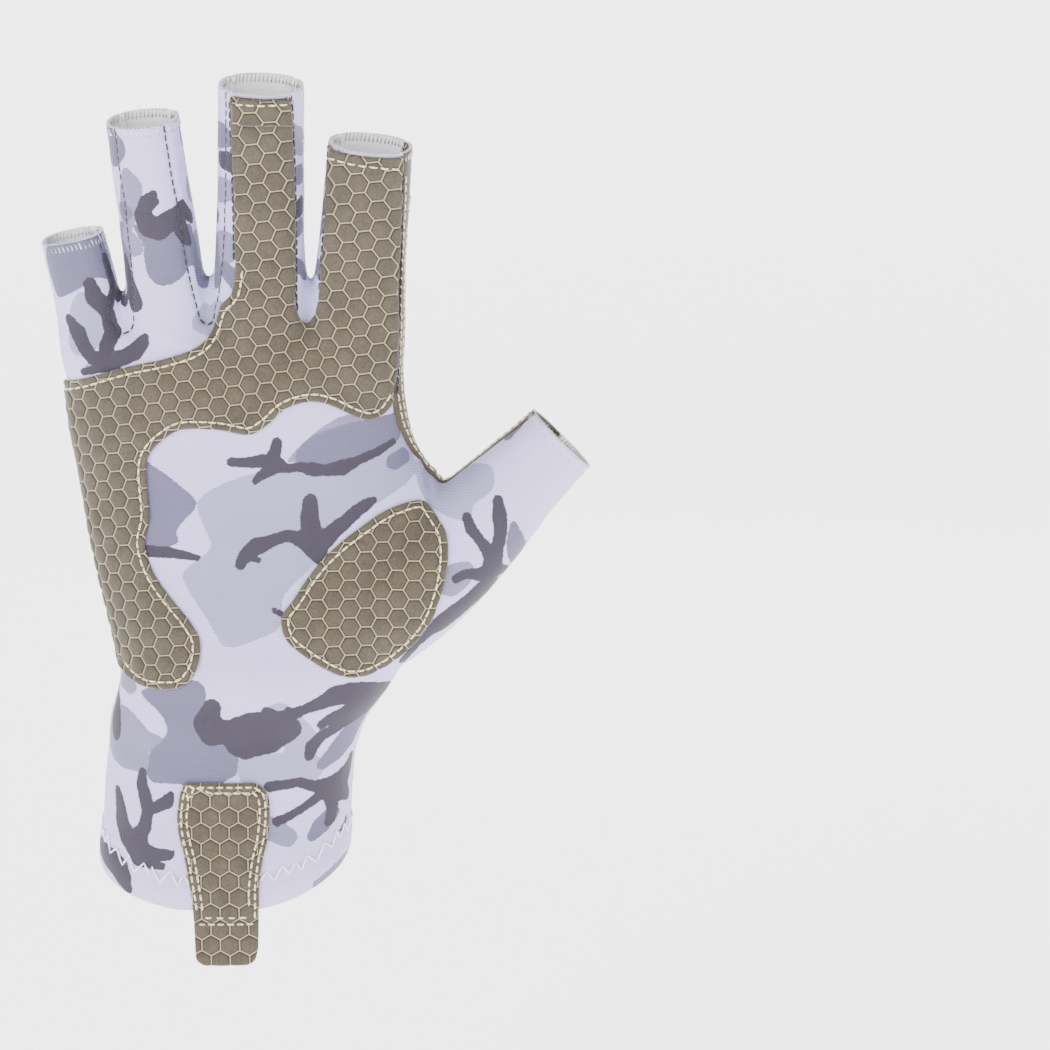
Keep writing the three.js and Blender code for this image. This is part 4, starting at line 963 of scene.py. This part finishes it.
def smooth_normal(place, fallback):
    """The form's normal, evened over a small neighbourhood."""
    total = Vector((0, 0, 0))
    for _, normal, _, _ in worn.find_nearest_range(place, NORMAL_REACH):
        total += normal
    return total.normalized() if total.length > 0 else fallback


# The little-finger side is unrolled from this line, so the cells keep their size as they go round.
UNROLL_FROM = -15
UNROLL_STEP = 1.5
UNROLL_HEIGHTS = np.arange(42, 137, UNROLL_STEP)
sections = []
for up in UNROLL_HEIGHTS:
    heart = Vector((UNROLL_FROM, float(fold_depth(up)), up))
    ring = []
    for angle in np.radians(np.arange(-90, -206, -3)):
        hit = worn.ray_cast(heart, Vector((math.cos(angle), math.sin(angle), 0)))[0]
        ring.append((hit.x, hit.y) if hit else ring[-1])
    ring = np.array(ring)
    sections.append((lengths_along(ring), ring))


def on_palm(x, z):
    """The same, with the sheet's far side rolled round the little-finger side."""
    if x > UNROLL_FROM or z > UNROLL_HEIGHTS[-1]:
        return on_front(x, z)
    level = np.clip((z - UNROLL_HEIGHTS[0]) / UNROLL_STEP, 0, len(sections) - 1.001)
    low, share = int(level), level % 1
    spots = [np.array([np.interp(UNROLL_FROM - x, lengths, ring[:, k]) for k in (0, 1)])
             for lengths, ring in sections[low:low + 2]]
    spot = spots[0] * (1 - share) + spots[1] * share
    place, normal, _, _ = worn.find_nearest(Vector((spot[0], spot[1], z)))
    return place, smooth_normal(place, normal)


STITCH_INSET = 1.9
ROW_WIDTH = 0.55
ROUNDED_EDGE = 0.6
EDGE_DROP = 0.45


def lay_suede(name, sheet, wrap, field, rows=(), lift=0.0, thickness=SUEDE_BASE, curl=None):
    """Wrap a flat sheet of relief on the worn form, trim it, round its edge and press in its stitch rows."""
    relief = sheet.verts.layers.float.new("relief")
    out = sheet.verts.layers.float_vector.new("out")
    sheet.verts.layers.float_vector.new("rest")
    for vert in sheet.verts:
        vert[relief] = vert.co.z
        place, normal = wrap(vert.co.x, vert.co.y)
        vert[out] = normal
        vert.co = place
    cut_along(sheet, field, [0], clear=True)
    beside_row = [STITCH_INSET - 0.4, STITCH_INSET, STITCH_INSET + 0.4] if rows else []
    cut_along(sheet, field, [0.25, ROUNDED_EDGE] + beside_row)
    places = places_of(sheet)
    depths = field(places)
    pressed = np.zeros(len(places))
    for row in rows:
        away, _ = distance_to_path(places[:, [0, 2]], row)
        pressed = np.maximum(pressed, np.exp(-((away / ROW_WIDTH) ** 2)))
    for vert, place, depth, press in zip(sheet.verts, places, depths, pressed):
        height = SUEDE_BASE + lift + vert[relief] * (1 - 0.6 * press) - 0.1 * press
        height -= EDGE_DROP * max(0, 1 - depth / ROUNDED_EDGE) ** 2
        if curl:
            height += curl(place)
        vert.co = vert.co + vert[out].normalized() * height
    piece = thick_piece(name, sheet, [honeycomb_suede], thickness, "Suede")
    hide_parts(name)


# The pressed grooves are coloured by their relief: a pale floor, partly the lighter pressed suede and partly a
# painted highlight, and walls darkened as painted shade; the tops keep their nap.
honeycomb_suede, grip_shader, grip_colour = suede("honeycomb_suede", "#574f41", "#322c23")
depth = add_node(honeycomb_suede, "Attribute", attribute_name="relief")
shares = add_node(honeycomb_suede, "MapRange", {"Value": depth.outputs["Fac"], "From Min": 0.0, "From Max": 0.4})
# The ramp paints the groove floor pale, partly as a painted highlight, and the walls dark as painted shade.
groove = add_node(honeycomb_suede, "ValToRGB", {"Fac": shares.outputs[0]})
stops = groove.color_ramp.elements
stops[0].position, stops[0].color = 0.0, linear("#9a8f72")
stops[1].position, stops[1].color = 0.05, linear("#8c8167")
for position, code in [(0.2, "#2a2319"), (0.6, "#2f281e"), (0.78, "#514a3d")]:
    stop = stops.new(position)
    stop.color = linear(code)
on_top = add_node(honeycomb_suede, "MapRange", {"Value": shares.outputs[0], "From Min": 0.55, "From Max": 0.8})
grip_colour_with_painted_shade = mixed(honeycomb_suede, on_top.outputs[0], groove.outputs["Color"], grip_colour)
feed(honeycomb_suede, grip_shader.inputs["Base Color"], grip_colour_with_painted_shade)


def inside_palm_patch(places):
    edges = [polygon_depth(places[:, [0, 2]], PALM_OUTLINE), -side_of(places) - 0.3]
    return np.min(edges + [inside_ends(places) - SUEDE_TOP, -inside_gusset(places) - 0.1], axis=0)


def inset_row(path, inset=STITCH_INSET, side=1):
    """A path moved sideways, for a row of stitches beside an edge."""
    points = np.array(path)
    lines = np.gradient(points, axis=0)
    lines /= np.linalg.norm(lines, axis=1)[:, None]
    return points + side * inset * np.stack([-lines[:, 1], lines[:, 0]], axis=1)


S_ROW = inset_row(S_CURVE, side=-1)
TOP_ROW = inset_row(TOP_EDGE, side=-1)
INDEX_ROW = smooth_path([(31.6, 184), (38, 182.5), (44, 181.7), (48.5, 181.3)])
lay_suede(
    "palm_grip_patch",
    honeycomb_sheet(PALM_OUTLINE, (-62, 54, 40, 206), turn=5.5, shift=(0.6, 1.2)),
    on_palm, inside_palm_patch, rows=(S_ROW, TOP_ROW, INDEX_ROW),
)


# ---- Thumb grip patch ----
# A drop of the same honeycomb suede on the ball of the thumb, sewn on all round.
DROP = smooth_path([
    (50.5, 95.4), (54.3, 95.1), (57.7, 91.6), (59.9, 87.7), (60.4, 82.9), (59.9, 77.6), (58.3, 71.1), (55.5, 64.3),
    (51.5, 58.9), (45.9, 54), (41.2, 51.2), (37.5, 50.1), (32.7, 50.5), (27.2, 53.3), (21.6, 57.3), (18.5, 60.4),
    (17.3, 64), (17.6, 67.1), (20.1, 70.4), (24, 76.3), (28.1, 81.3), (33.4, 86.1), (38.1, 89.5), (42.2, 92.3),
    (45.9, 94.1),
], closed=True, steps=3)
DROP_ROW = inset_row(DROP + DROP[:1], side=-1)


def inside_drop(places):
    return polygon_depth(places[:, [0, 2]], DROP)


lay_suede(
    "thumb_grip_patch",
    honeycomb_sheet(DROP, (10, 66, 44, 102), shift=(1.2, 0.4)),
    on_front, inside_drop, rows=(DROP_ROW,),
)


# ---- Middle finger flap ----
# A second layer of the suede at the tip of the middle finger, sewn along its top edge; its lower edge is free.
FLAP = [(8.3, 192.4), (8.7, 204), (21.2, 204), (21.5, 192.4)]
FLAP_LIFT = 1.2
FLAP_ROW = smooth_path([(9.1, 197.7), (15, 197.4), (20.9, 197.7)])


def inside_flap(places):
    return np.minimum(polygon_depth(places[:, [0, 2]], FLAP), inside_ends(places) - SUEDE_TOP)


lay_suede(
    "middle_finger_flap",
    honeycomb_sheet(FLAP, (0, 27, 186, 206), turn=3, shift=(1.6, 0.8)),
    on_front, inside_flap, rows=(FLAP_ROW,), lift=FLAP_LIFT, thickness=0.8,
    curl=lambda place: 0.5 * max(0, (196 - place[2]) / 4) ** 2,
)


# ---- Pull tab ----
# A doubled tab of honeycomb suede on the palm side of the cuff, sewn down by two rows; it hangs below the
# cuff's edge, and its end is free to pull the glove on by.
TAB_LIFT = 0.1
TAB = smooth_path([
    (-6.4, 22.6), (9.7, 22.6), (9.7, 22.6), (12.6, 20.4), (13.5, 15.3), (12.8, 7.3), (11.7, 2.6), (10.7, -4.3),
    (10.6, -9.8), (10.2, -20.4), (10, -21.6), (9.2, -24.2), (7.6, -25.4), (7.6, -25.4), (-3.6, -25.5),
    (-3.6, -25.5), (-5.6, -24), (-6, -21.4), (-6.5, -11), (-7.4, -4.3), (-8.4, 1.9), (-9.8, 7.3), (-10.5, 12.8),
    (-10.1, 16.9), (-9.4, 20.6), (-8.2, 22.2),
], closed=True, steps=3)


def inside_tab(places):
    return polygon_depth(places[:, [0, 2]], TAB)


lay_suede(
    "pull_tab",
    honeycomb_sheet(TAB, (-16, 20, -32, 30), pointed_up=True, shift=(0.6, 1.0)),
    on_front, inside_tab, lift=TAB_LIFT, thickness=1.0,
    curl=lambda place: 0.9 * max(0, (-8 - place[2]) / 16) ** 2,
)


# ---- Cuff hem ----
# The cuff's edge is turned up 8 mm inside, so the hem is a second layer of the same jersey, white side out.
middles = np.array([face.calc_center_median() for face in skin.faces])
hem_faces = (inside_ends(middles) < HEM_HEIGHT) & (middles[:, 2] < 25)
hem = cut_piece("cuff_hem", hem_faces, (inside, inside), 0.8, under=1.05)
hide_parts("cuff_hem")


# ---- Stitch rows on the suede ----
# Cream bonded thread, 0.5 mm thick, in lockstitches 2.4 mm apart: one row inside the grip patches' edges,
# two round the gusset and the pull tab. Each stitch is a short bent length that dives into the suede.
PLY_PITCH = 0.6 * MM


def spun_thread(name, light, dark):
    """Twisted polyester thread: a faint gloss, and plies that show as slanting bands, in relief and with the
    colour darkened between them as painted shade.
    """
    material, shader = new_material(name, Roughness=0.55, Sheen_Weight=0.2)
    plies = bands(material, PLY_PITCH, "DIAGONAL", 2.0)
    bump = add_node(material, "Bump", {"Height": plies, "Strength": 0.4, "Distance": 0.06 * MM})
    # Each ply's colour runs from the light tone to the dark one: the dark is painted shade between the plies.
    feed(material, shader.inputs["Base Color"], mixed(material, plies, linear(dark), linear(light)))
    feed(material, shader.inputs["Normal"], bump.outputs[0])
    return material


def thread_piece(name, runs, radius, material, sides=1, loops=False):
    """Lengths of thread along runs of points (x, y, z, share of the radius)."""
    curve = bpy.data.curves.new(name, "CURVE")
    curve.dimensions = "3D"
    curve.bevel_depth = radius * MM
    curve.bevel_resolution = sides
    curve.use_fill_caps = True
    for run in runs:
        run = np.array(run, float)
        if run.shape[1] == 3:
            run = np.hstack([run, np.ones((len(run), 1))])
        spline = curve.splines.new("POLY")
        spline.points.add(len(run) - 1)
        spline.points.foreach_set("co", np.hstack([run[:, :3] * MM, np.ones((len(run), 1))]).ravel())
        spline.points.foreach_set("radius", run[:, 3].copy())
        spline.use_cyclic_u = loops
    mesh = applied(finished_object(name + "_curve", curve))
    for polygon in mesh.polygons:
        polygon.use_smooth = True
    mesh.materials.clear()
    piece = finished_object(name, mesh, material)
    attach(piece, "root")
    return piece


def spaced(run, pitch):
    """Points along a run at an even pitch, with the run's direction there."""
    run = np.array(run, float)
    lengths = lengths_along(run)
    count = max(1, int(lengths[-1] / pitch))
    places = (np.arange(count) + 0.5) * lengths[-1] / count
    points, ahead, behind = (
        np.stack([np.interp(places + shift, lengths, run[:, k]) for k in range(3)], axis=1)
        for shift in (0, 0.4, -0.4)
    )
    lines = ahead - behind
    return points, lines / np.linalg.norm(lines, axis=1)[:, None]


def outwards(point):
    place, normal, _, _ = worn.find_nearest(Vector(point))
    return np.array(smooth_normal(place, normal))


def stitches(run, pitch, length, lift, dive=0.35):
    """Lockstitches along a run of points: each rises in its middle and dives at its ends."""
    found = []
    points, lines = spaced(run, pitch)
    for point, line in zip(points, lines):
        up = outwards(point)
        found.append([
            (*(point + line * length * share + up * (lift + rise)), thick)
            for share, rise, thick in [(-0.5, -dive, 0.6), (-0.3, 0, 1), (0.3, 0, 1), (0.5, -dive, 0.6)]
        ])
    return found


def laid_row(row, wrap):
    """A row given on the flat sheet (x, z), taken to the worn form."""
    return [wrap(x, z)[0] for x, z in row]


SHORTEST_RUN = 4


def seam_runs(field, level, kept=None, smoothing=3):
    """Runs of points of the skin where a field of its points passes a level."""
    shape = skin.copy()
    heights = field(places_of(shape))
    far = [vert for vert, height in zip(shape.verts, heights) if abs(height - level) > 3]
    bmesh.ops.delete(shape, geom=far, context="VERTS")
    cut_along(shape, field, [level], clear=True)
    shape.verts.index_update()
    points = places_of(shape)
    on_line = np.abs(field(points) - level) < 0.05
    if kept:
        on_line &= kept(points)
    links = {}
    for edge in shape.edges:
        a, b = (vert.index for vert in edge.verts)
        if edge.is_boundary and on_line[a] and on_line[b]:
            links.setdefault(a, set()).add(b)
            links.setdefault(b, set()).add(a)
    shape.free()
    runs = []
    while links:
        start = next((index for index, others in links.items() if len(others) == 1), next(iter(links)))
        run = [start]
        while run[-1] in links:
            here = run[-1]
            following = links[here].pop()
            links[following].discard(here)
            for index in (here, following):
                if not links[index]:
                    del links[index]
            run.append(following)
        run = points[run]
        closed = np.linalg.norm(run[0] - run[-1]) < 0.01
        for _ in range(smoothing):
            middle = (run[:-2] + 2 * run[1:-1] + run[2:]) / 4
            if closed and len(run) > 3:
                ends = ((run[-2] + 2 * run[0] + run[1]) / 4)[None]
                run = np.vstack([ends, middle, ends])
            else:
                run = np.vstack([run[:1], middle, run[-1:]])
        if lengths_along(run)[-1] > SHORTEST_RUN:
            runs.append(run)
    return runs


cream_thread = spun_thread("cream_thread", "#ede3c2", "#b8a981")
CREAM_RADIUS = 0.27
STITCH_PITCH = 2.4
STITCH_LENGTH = 1.95
ON_SUEDE = SUEDE_BASE + 0.42

palm_rows = []
for row, wrap in [(S_ROW, on_palm), (TOP_ROW, on_palm), (INDEX_ROW, on_front), (DROP_ROW, on_front)]:
    field = inside_drop if row is DROP_ROW else inside_palm_patch
    run = np.array(laid_row(row, wrap))
    palm_rows += stitches(run[field(run) > 0.5], STITCH_PITCH, STITCH_LENGTH, ON_SUEDE)
palm_rows += stitches(laid_row(FLAP_ROW, on_front), 2.2, 1.8, ON_SUEDE + FLAP_LIFT)
thread_piece("grip_patch_stitches", palm_rows, CREAM_RADIUS, cream_thread)

# The tab's two rows run down both sides, over its top and across above its free end.
TAB_ROWS = [(1.1, -14.4), (2.6, -12.6)]
tab_stitches = []
for inset, lowest in TAB_ROWS:
    row = np.array(inset_row(TAB + TAB[:1], inset=inset, side=-1))
    sewn = row[row[:, 1] > lowest]
    turned = np.arctan2(sewn[:, 1] - 2, sewn[:, 0] - 1)
    turned = np.where(turned < -math.pi / 2, turned + 2 * math.pi, turned)
    sewn = sewn[np.argsort(turned)]
    across = [(x, lowest) for x in np.linspace(sewn[-1, 0], sewn[0, 0], 12)]
    for run in (sewn, across):
        tab_stitches += stitches(laid_row(run, on_front), STITCH_PITCH, STITCH_LENGTH, ON_SUEDE + TAB_LIFT)
thread_piece("pull_tab_stitches", tab_stitches, CREAM_RADIUS, cream_thread)


def inside_gusset_edges(places):
    return np.minimum(inside_gusset(places), inside_ends(places))


GUSSET_ROWS = (1.4, 3.1)
gusset_rows = []
for level in GUSSET_ROWS:
    for run in seam_runs(inside_gusset_edges, level):
        gusset_rows += stitches(run, STITCH_PITCH, STITCH_LENGTH, 0.12)
thread_piece("gusset_stitches", gusset_rows, 0.25, cream_thread)


# ---- Seams of the cloth ----
# The panels and strips are sewn edge to edge in navy thread, whose stitches show in every seam as small dark
# dashes. Between the gusset and the back, from the thumb crotch up the index finger, a navy cord in the seam shows
# as
# a dark line: partly the seam's dark thread and partly painted shadow in the seam.
navy_thread = spun_thread("navy_thread", "#1d1c29", "#0f0f16")
NAVY_RADIUS = 0.3
NAVY_PITCH = 2.3
NAVY_LENGTH = 1.9
seam_stitches = []
for crotch in CROTCHES:
    for run in seam_runs(lambda places: inside_crotch(places, crotch), 0):
        seam_stitches += stitches(run, NAVY_PITCH, NAVY_LENGTH, 0.0)


def clear_of_strips(points):
    return (inside_gusset(points) < -0.6) & (inside_fourchettes(points) < -0.6)


for run in seam_runs(side_of, 0, clear_of_strips):
    seam_stitches += stitches(run, NAVY_PITCH, 1.7, 0.0)
thread_piece("seam_stitches", seam_stitches, NAVY_RADIUS, navy_thread)

# The cloth's seams beside the suede of the index and middle finger: each line, and its side.
STRIP_SEAMS = [
    ([(6.6, 158)] + MIDDLE_STRIP[:3], -0.3),
    ([(22, 200), (21.9, 185), (21.6, 165), (21.2, 150), (21.4, 145)], 0.3),
    ([(28, 150), (28.9, 160), (30, 170), (31.2, 186)], -0.3),
    ([(49.3, 183), (48.3, 160), (47.2, 135), (46.6, 123)], 0.3),
]
strip_stitches = []
for seam, shift in STRIP_SEAMS:
    row = np.array(smooth_path(seam, steps=8)) + (shift, 0)
    run = np.array(laid_row(row, on_front))
    run = run[inside_ends(run) > 1.2]
    strip_stitches += stitches(run, NAVY_PITCH, NAVY_LENGTH, 0.35)
thread_piece("strip_seam_stitches", strip_stitches, NAVY_RADIUS, navy_thread)


def gusset_back_edge(points):
    on_index = beside_finger(points, "index") > 0
    return (side_of(points) > 0.5) & on_index & (points[:, 0] < 62) & (inside_ends(points) > 0.3)


# A navy cord sunk a little into the seam: partly its dark thread, partly painted shadow in the seam.
seam_line_and_shadow = []
for run in seam_runs(inside_gusset, 0, gusset_back_edge, smoothing=6):
    points, _ = spaced(run, 1.0)
    seam_line_and_shadow.append([point + outwards(point) * -0.15 for point in points])
thread_piece("gusset_seam_line_and_shadow", seam_line_and_shadow, 0.42, navy_thread, sides=2)


# ---- Overlocked openings ----
# The five finger openings are bound in white overlock: a thread that zigzags over the raw edge, with a
# thick looper thread lying on the edge itself.
white_thread = spun_thread("white_thread", "#ffffff", "#dcdce6")
OVERLOCK_PITCH = 1.1
OVERLOCK_DEPTH = 1.9
# Past the edge and outwards: down the outside, over the edge, down the inside and back.
OVERLOCK = [(-OVERLOCK_DEPTH, 0.12), (0.35, -0.1), (-OVERLOCK_DEPTH * 0.8, -JERSEY - 0.12), (0.35, -JERSEY + 0.1)]
zigzags = []
edges = []
for name in DIGITS:
    middle, _, _, wide, _, forward = finger_station(name, 1)

    def at_opening(points, middle=np.array(middle), wide=wide):
        return np.linalg.norm(points - middle, axis=1) < OPENING_REACH * wide

    for run in seam_runs(inside_ends, 0.25, at_opening, smoothing=5):
        points, _ = spaced(run, OVERLOCK_PITCH / 4)
        zigzag = []
        bead = []
        for i, point in enumerate(points):
            up = outwards(point)
            bead.append(point - up * 0.45 + np.array(forward) * 0.05)
            along, height = OVERLOCK[i % 4]
            zigzag.append(point + np.array(forward) * along + up * height)
        zigzags.append(zigzag)
        edges.append(bead)
thread_piece("opening_zigzag_thread", zigzags, 0.22, white_thread, sides=0)
thread_piece("opening_edge_thread", edges, 0.34, white_thread, loops=True)


# ---- Hem stitches of the cuff ----
# A loose white zigzag holds the turned-up hem. Its points are uneven, as on the real cuff, where the cloth
# was pulled under the needle.
random.seed(7)
hem_zigzag = []
for run in seam_runs(inside_ends, HEM_HEIGHT, lambda points: points[:, 2] < 20, smoothing=2):
    points, _ = spaced(run, 0.6)
    steps, low, high = 0, -1.4, 1.4
    path = []
    for point in points:
        if steps <= 0:
            steps = span = random.choice([3, 3, 4, 5])
            low, high = high, (1 if high < 0 else -1) * random.uniform(0.8, 2.3)
        share = 1 - steps / span
        reach = low + (high - low) * share
        steps -= 1
        spot, normal, _, _ = worn.find_nearest(Vector(point + (0, 0, reach)))
        path.append(np.array(spot) + np.array(normal) * (0.05 + 0.2 * math.sin(math.pi * share)))
    hem_zigzag.append(path)
thread_piece("cuff_hem_stitches", hem_zigzag, 0.24, white_thread)


# ---- The view ----
# A pale studio floor that curves up all round, so that no horizon shows, soft even light, and a camera at
# the photograph's viewing angle and scale. The floor glows a little, as a lit white backdrop does.
floor_material, floor_shader = new_material("matt_floor", Roughness=0.9)
floor_shader.inputs["Base Color"].default_value = linear("#fbfbfb")
floor_shader.inputs["Emission Color"].default_value = linear("#ffffff")
floor_shader.inputs["Emission Strength"].default_value = 2.8
floor_shape = bmesh.new()
FLOOR_HEIGHT = -0.13
FLAT_RADIUS = 2.2
SWEEP_RADIUS = 1.4
sweep = [(0.01, 0)] + [(FLAT_RADIUS + SWEEP_RADIUS * math.sin(turn), SWEEP_RADIUS * (1 - math.cos(turn)))
                       for turn in np.linspace(0, math.pi / 2, 10)]
line = [floor_shape.verts.new((radius, 0, up + FLOOR_HEIGHT)) for radius, up in sweep]
profile = [floor_shape.edges.new(pair) for pair in zip(line[:-1], line[1:])]
bmesh.ops.spin(floor_shape, geom=line + profile, cent=(0, 0, 0), axis=(0, 0, 1), angle=2 * math.pi, steps=64,
               use_merge=True)
bmesh.ops.recalc_face_normals(floor_shape, faces=floor_shape.faces)
if min(floor_shape.faces, key=lambda face: face.calc_center_median().z).normal.z < 0:
    bmesh.ops.reverse_faces(floor_shape, faces=floor_shape.faces)
for face in floor_shape.faces:
    face.smooth = True
floor_mesh = bpy.data.meshes.new("floor")
floor_shape.to_mesh(floor_mesh)
floor_shape.free()
finished_object("floor", floor_mesh, floor_material)

world = bpy.data.worlds.new("studio")
bpy.context.scene.world = world
world.use_nodes = True
world.node_tree.nodes["Background"].inputs["Color"].default_value = linear("#fafafc")
world.node_tree.nodes["Background"].inputs["Strength"].default_value = 0.25


def turn_to(thing, place, target):
    """Put a light or camera at a place and turn it to a target."""
    thing.location = place
    thing.rotation_euler = (Vector(target) - Vector(place)).to_track_quat("-Z", "Y").to_euler()


LIT_SPOT = (0.02, 0, 0.09)
for name, place, size, power in [
    ("key", (-0.9, -1.1, 1.0), 0.7, 20), ("fill", (1.2, -1.0, 0.4), 1.0, 3), ("rim", (0.3, 1.2, 0.9), 0.8, 8),
]:
    lamp = bpy.data.lights.new(name, "AREA")
    lamp.shape = "DISK"
    lamp.size = size
    lamp.energy = power
    turn_to(finished_object(name, lamp), place, LIT_SPOT)

# One photograph pixel is 0.265 mm of glove, in a frame of 1050 pixels.
PIXEL = 0.265 * MM
FRAME_WIDTH = 1050
AIM = Vector((0.0803, 0, 0.08745))
ELEVATION = math.radians(9)
DISTANCE = 0.66
lens = bpy.data.cameras.new("camera")
lens.sensor_width = 36
lens.lens = DISTANCE / PIXEL / FRAME_WIDTH * lens.sensor_width
lens.clip_start = 0.01
camera = finished_object("camera", lens)
turn_to(camera, AIM + DISTANCE * Vector((0, -math.cos(ELEVATION), math.sin(ELEVATION))), AIM)
bpy.context.scene.camera = camera
